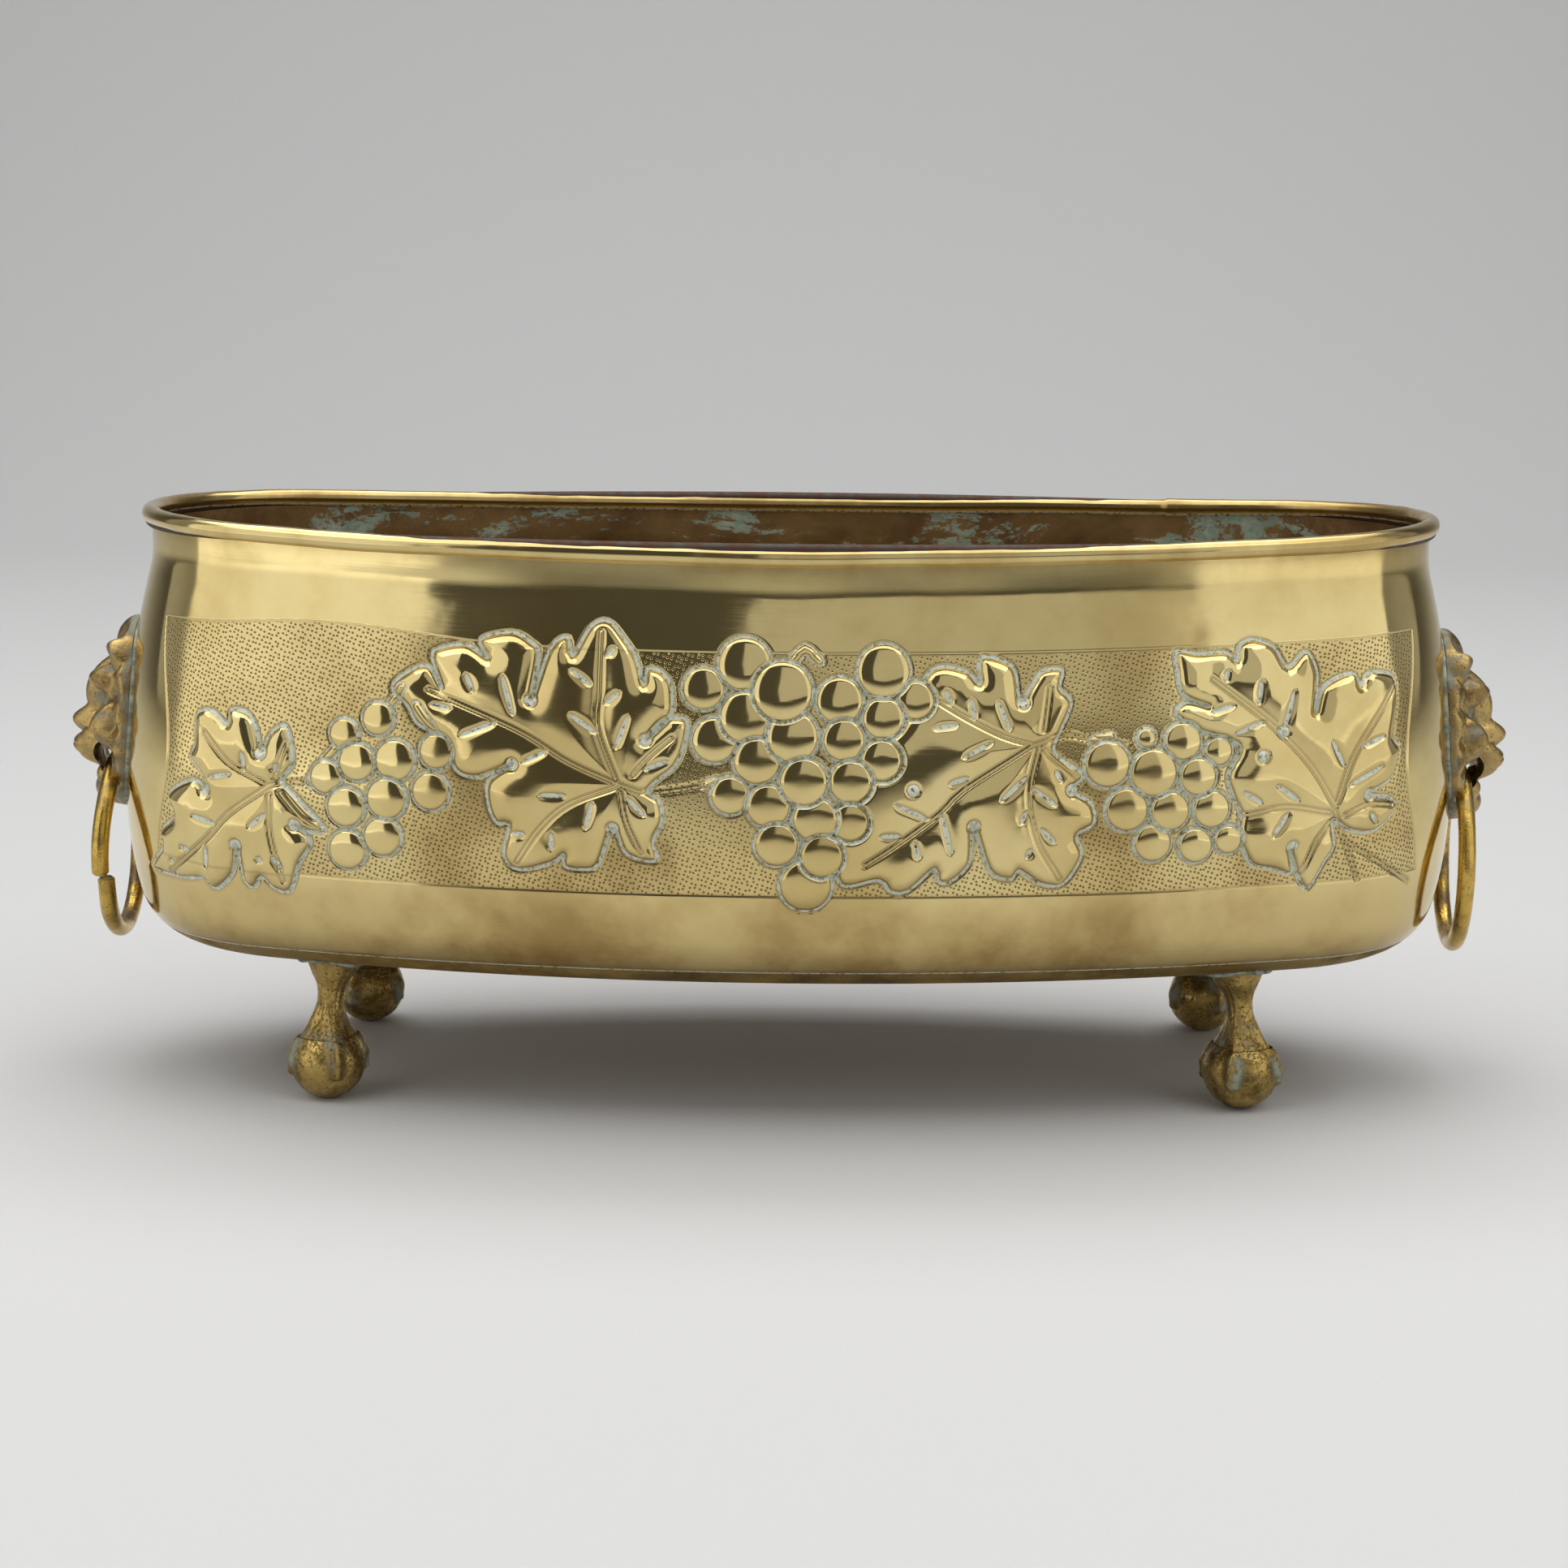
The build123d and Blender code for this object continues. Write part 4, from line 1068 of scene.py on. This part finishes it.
for index, name in enumerate(("front_left", "front_right", "rear_left", "rear_right")):
    low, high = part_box("foot_rivet_" + name)
    foot((low.x + high.x) / 2 / MM, (low.y + high.y) / 2 / MM, name, 80 + 10 * index)
    bpy.data.objects["foot_rivet_" + name].material_slots[0].material = HAMMERED

for node, material in (("base_pan", UNDERSIDE), ("base_seam_solder", SOLDER), ("rim_wire", IRON)):
    bpy.data.objects[node].material_slots[0].material = material


# ---------------------------------------------------------------- studio


def backdrop():
    """A pale paper sweep: flat floor, then a quarter turn of 0.9 m radius, then upright; a line carried
    along X."""
    turn = np.linspace(0, math.pi / 2, 24)
    y = np.concatenate([[-6000, -3000, -1000, 0, 900], 1700 + 900 * np.sin(turn), [2600]])
    z = np.concatenate([np.zeros(5), 900 - 900 * np.cos(turn), [4500]])
    x = np.linspace(-6000, 6000, 13)
    points = np.stack(np.broadcast_arrays(x[:, None], y[None, :], z[None, :]), -1)
    floor = mesh_piece("paper_sweep", points.reshape(-1, 3), [grid_faces(len(x), len(y))])
    material, tree, shader = new_finish("pale_grey_paper")  # matt, with the faintest tooth
    place = add(tree, "TexCoord", {}, {}, "Object")
    tooth = add(tree, "TexNoise", {}, {"Vector": place, "Scale": 900.0, "Detail": 2.0})
    paper = add(tree, "Mix", OVER, {0: tooth, 6: colour("CFCFCF"), 7: colour("CBCBCB")}, 2)
    tree.links.new(paper, shader.inputs["Base Color"])
    shader.inputs["Roughness"].default_value = 0.9
    floor.data.materials.append(material)


def panel(name, a, b, low, high, brightness):
    """A softbox standing between two points of the floor, from one height to another, facing the pot."""
    a, b = Vector(a), Vector(b)
    data = bpy.data.lights.new(name, "AREA")
    data.shape = "RECTANGLE"
    data.size, data.size_y = (b - a).length * MM, (high - low) * MM
    data.energy = brightness * math.pi * data.size * data.size_y
    light = bpy.data.objects.new(name, data)
    across = Vector((*(b - a).normalized(), 0.0))
    facing = across.cross(Vector((0, 0, 1)))
    middle = Vector((*((a + b) / 2), (low + high) / 2))
    if facing.dot(middle) > 0:
        across, facing = -across, -facing
    up = Vector((0, 0, 1))
    turned = Matrix((-across, up, -facing)).transposed()
    light.matrix_world = Matrix.Translation(middle * MM) @ turned.to_4x4()
    light.visible_camera = False
    scene.collection.objects.link(light)


def overhead(name, x, y, z, width, depth, brightness):
    """A softbox lying level above the pot."""
    data = bpy.data.lights.new(name, "AREA")
    data.shape = "RECTANGLE"
    data.size, data.size_y = width * MM, depth * MM
    data.energy = brightness * math.pi * data.size * data.size_y
    light = bpy.data.objects.new(name, data)
    light.location = (x * MM, y * MM, z * MM)
    light.visible_camera = False
    scene.collection.objects.link(light)


def studio_air():
    """Faint light from everywhere: dim on the camera's side, paler towards the paper."""
    world = bpy.data.worlds.new("studio_air")
    scene.world = world
    world.use_nodes = True
    tree = world.node_tree
    way = add(tree, "TexCoord", {}, {}, "Generated")
    depth = add(tree, "SeparateXYZ", {}, {0: way}, "Y")
    share = add(tree, "MapRange", SMOOTH, {"Value": depth, "From Min": -0.4, "From Max": 0.4})
    shade = add(tree, "Mix", OVER, {0: share, 6: colour("5E5C58"), 7: colour("BDBDBD")}, 2)
    tree.links.new(shade, tree.nodes["Background"].inputs["Color"])
    tree.nodes["Background"].inputs["Strength"].default_value = 0.75


def camera():
    """A long lens a little above the pot, looking slightly down, with a slight tilt of the horizon."""
    pitch, roll, yaw = math.radians(10.57), math.radians(0.56), math.radians(0.37)
    forward = Vector((0, math.cos(pitch), -math.sin(pitch)))
    up = Vector((0, math.sin(pitch), math.cos(pitch)))
    right = Vector((1, 0, 0))
    right, up = math.cos(roll) * right + math.sin(roll) * up, math.cos(roll) * up - math.sin(roll) * right
    data = bpy.data.cameras.new("camera")
    data.sensor_width, data.lens = 36.0, 71.94
    data.clip_start, data.clip_end = 0.05, 50
    eye = bpy.data.objects.new("camera", data)
    turned = Matrix((right, up, -forward)).transposed().to_4x4()
    place = Matrix.Translation(Vector((-1.36, -1150, 321.5)) * MM)
    eye.matrix_world = Matrix.Rotation(yaw, 4, "Z") @ place @ turned
    scene.collection.objects.link(eye)
    scene.camera = eye


backdrop()
panel("left_softbox", (-734, -1132), (-1500, -100), 5, 1700, 0.97)
panel("right_softbox", (823, -1086), (1500, -100), 5, 1700, 0.85)
panel("front_fill", (-60, -1298), (823, -1086), 250, 1500, 0.48)
overhead("top_softbox", 0, -250, 1900, 3400, 2000, 1.65)
overhead("paper_light", 0, 1300, 2600, 3600, 1200, 2.6)
studio_air()
camera()
scene.view_settings.view_transform = "Standard"
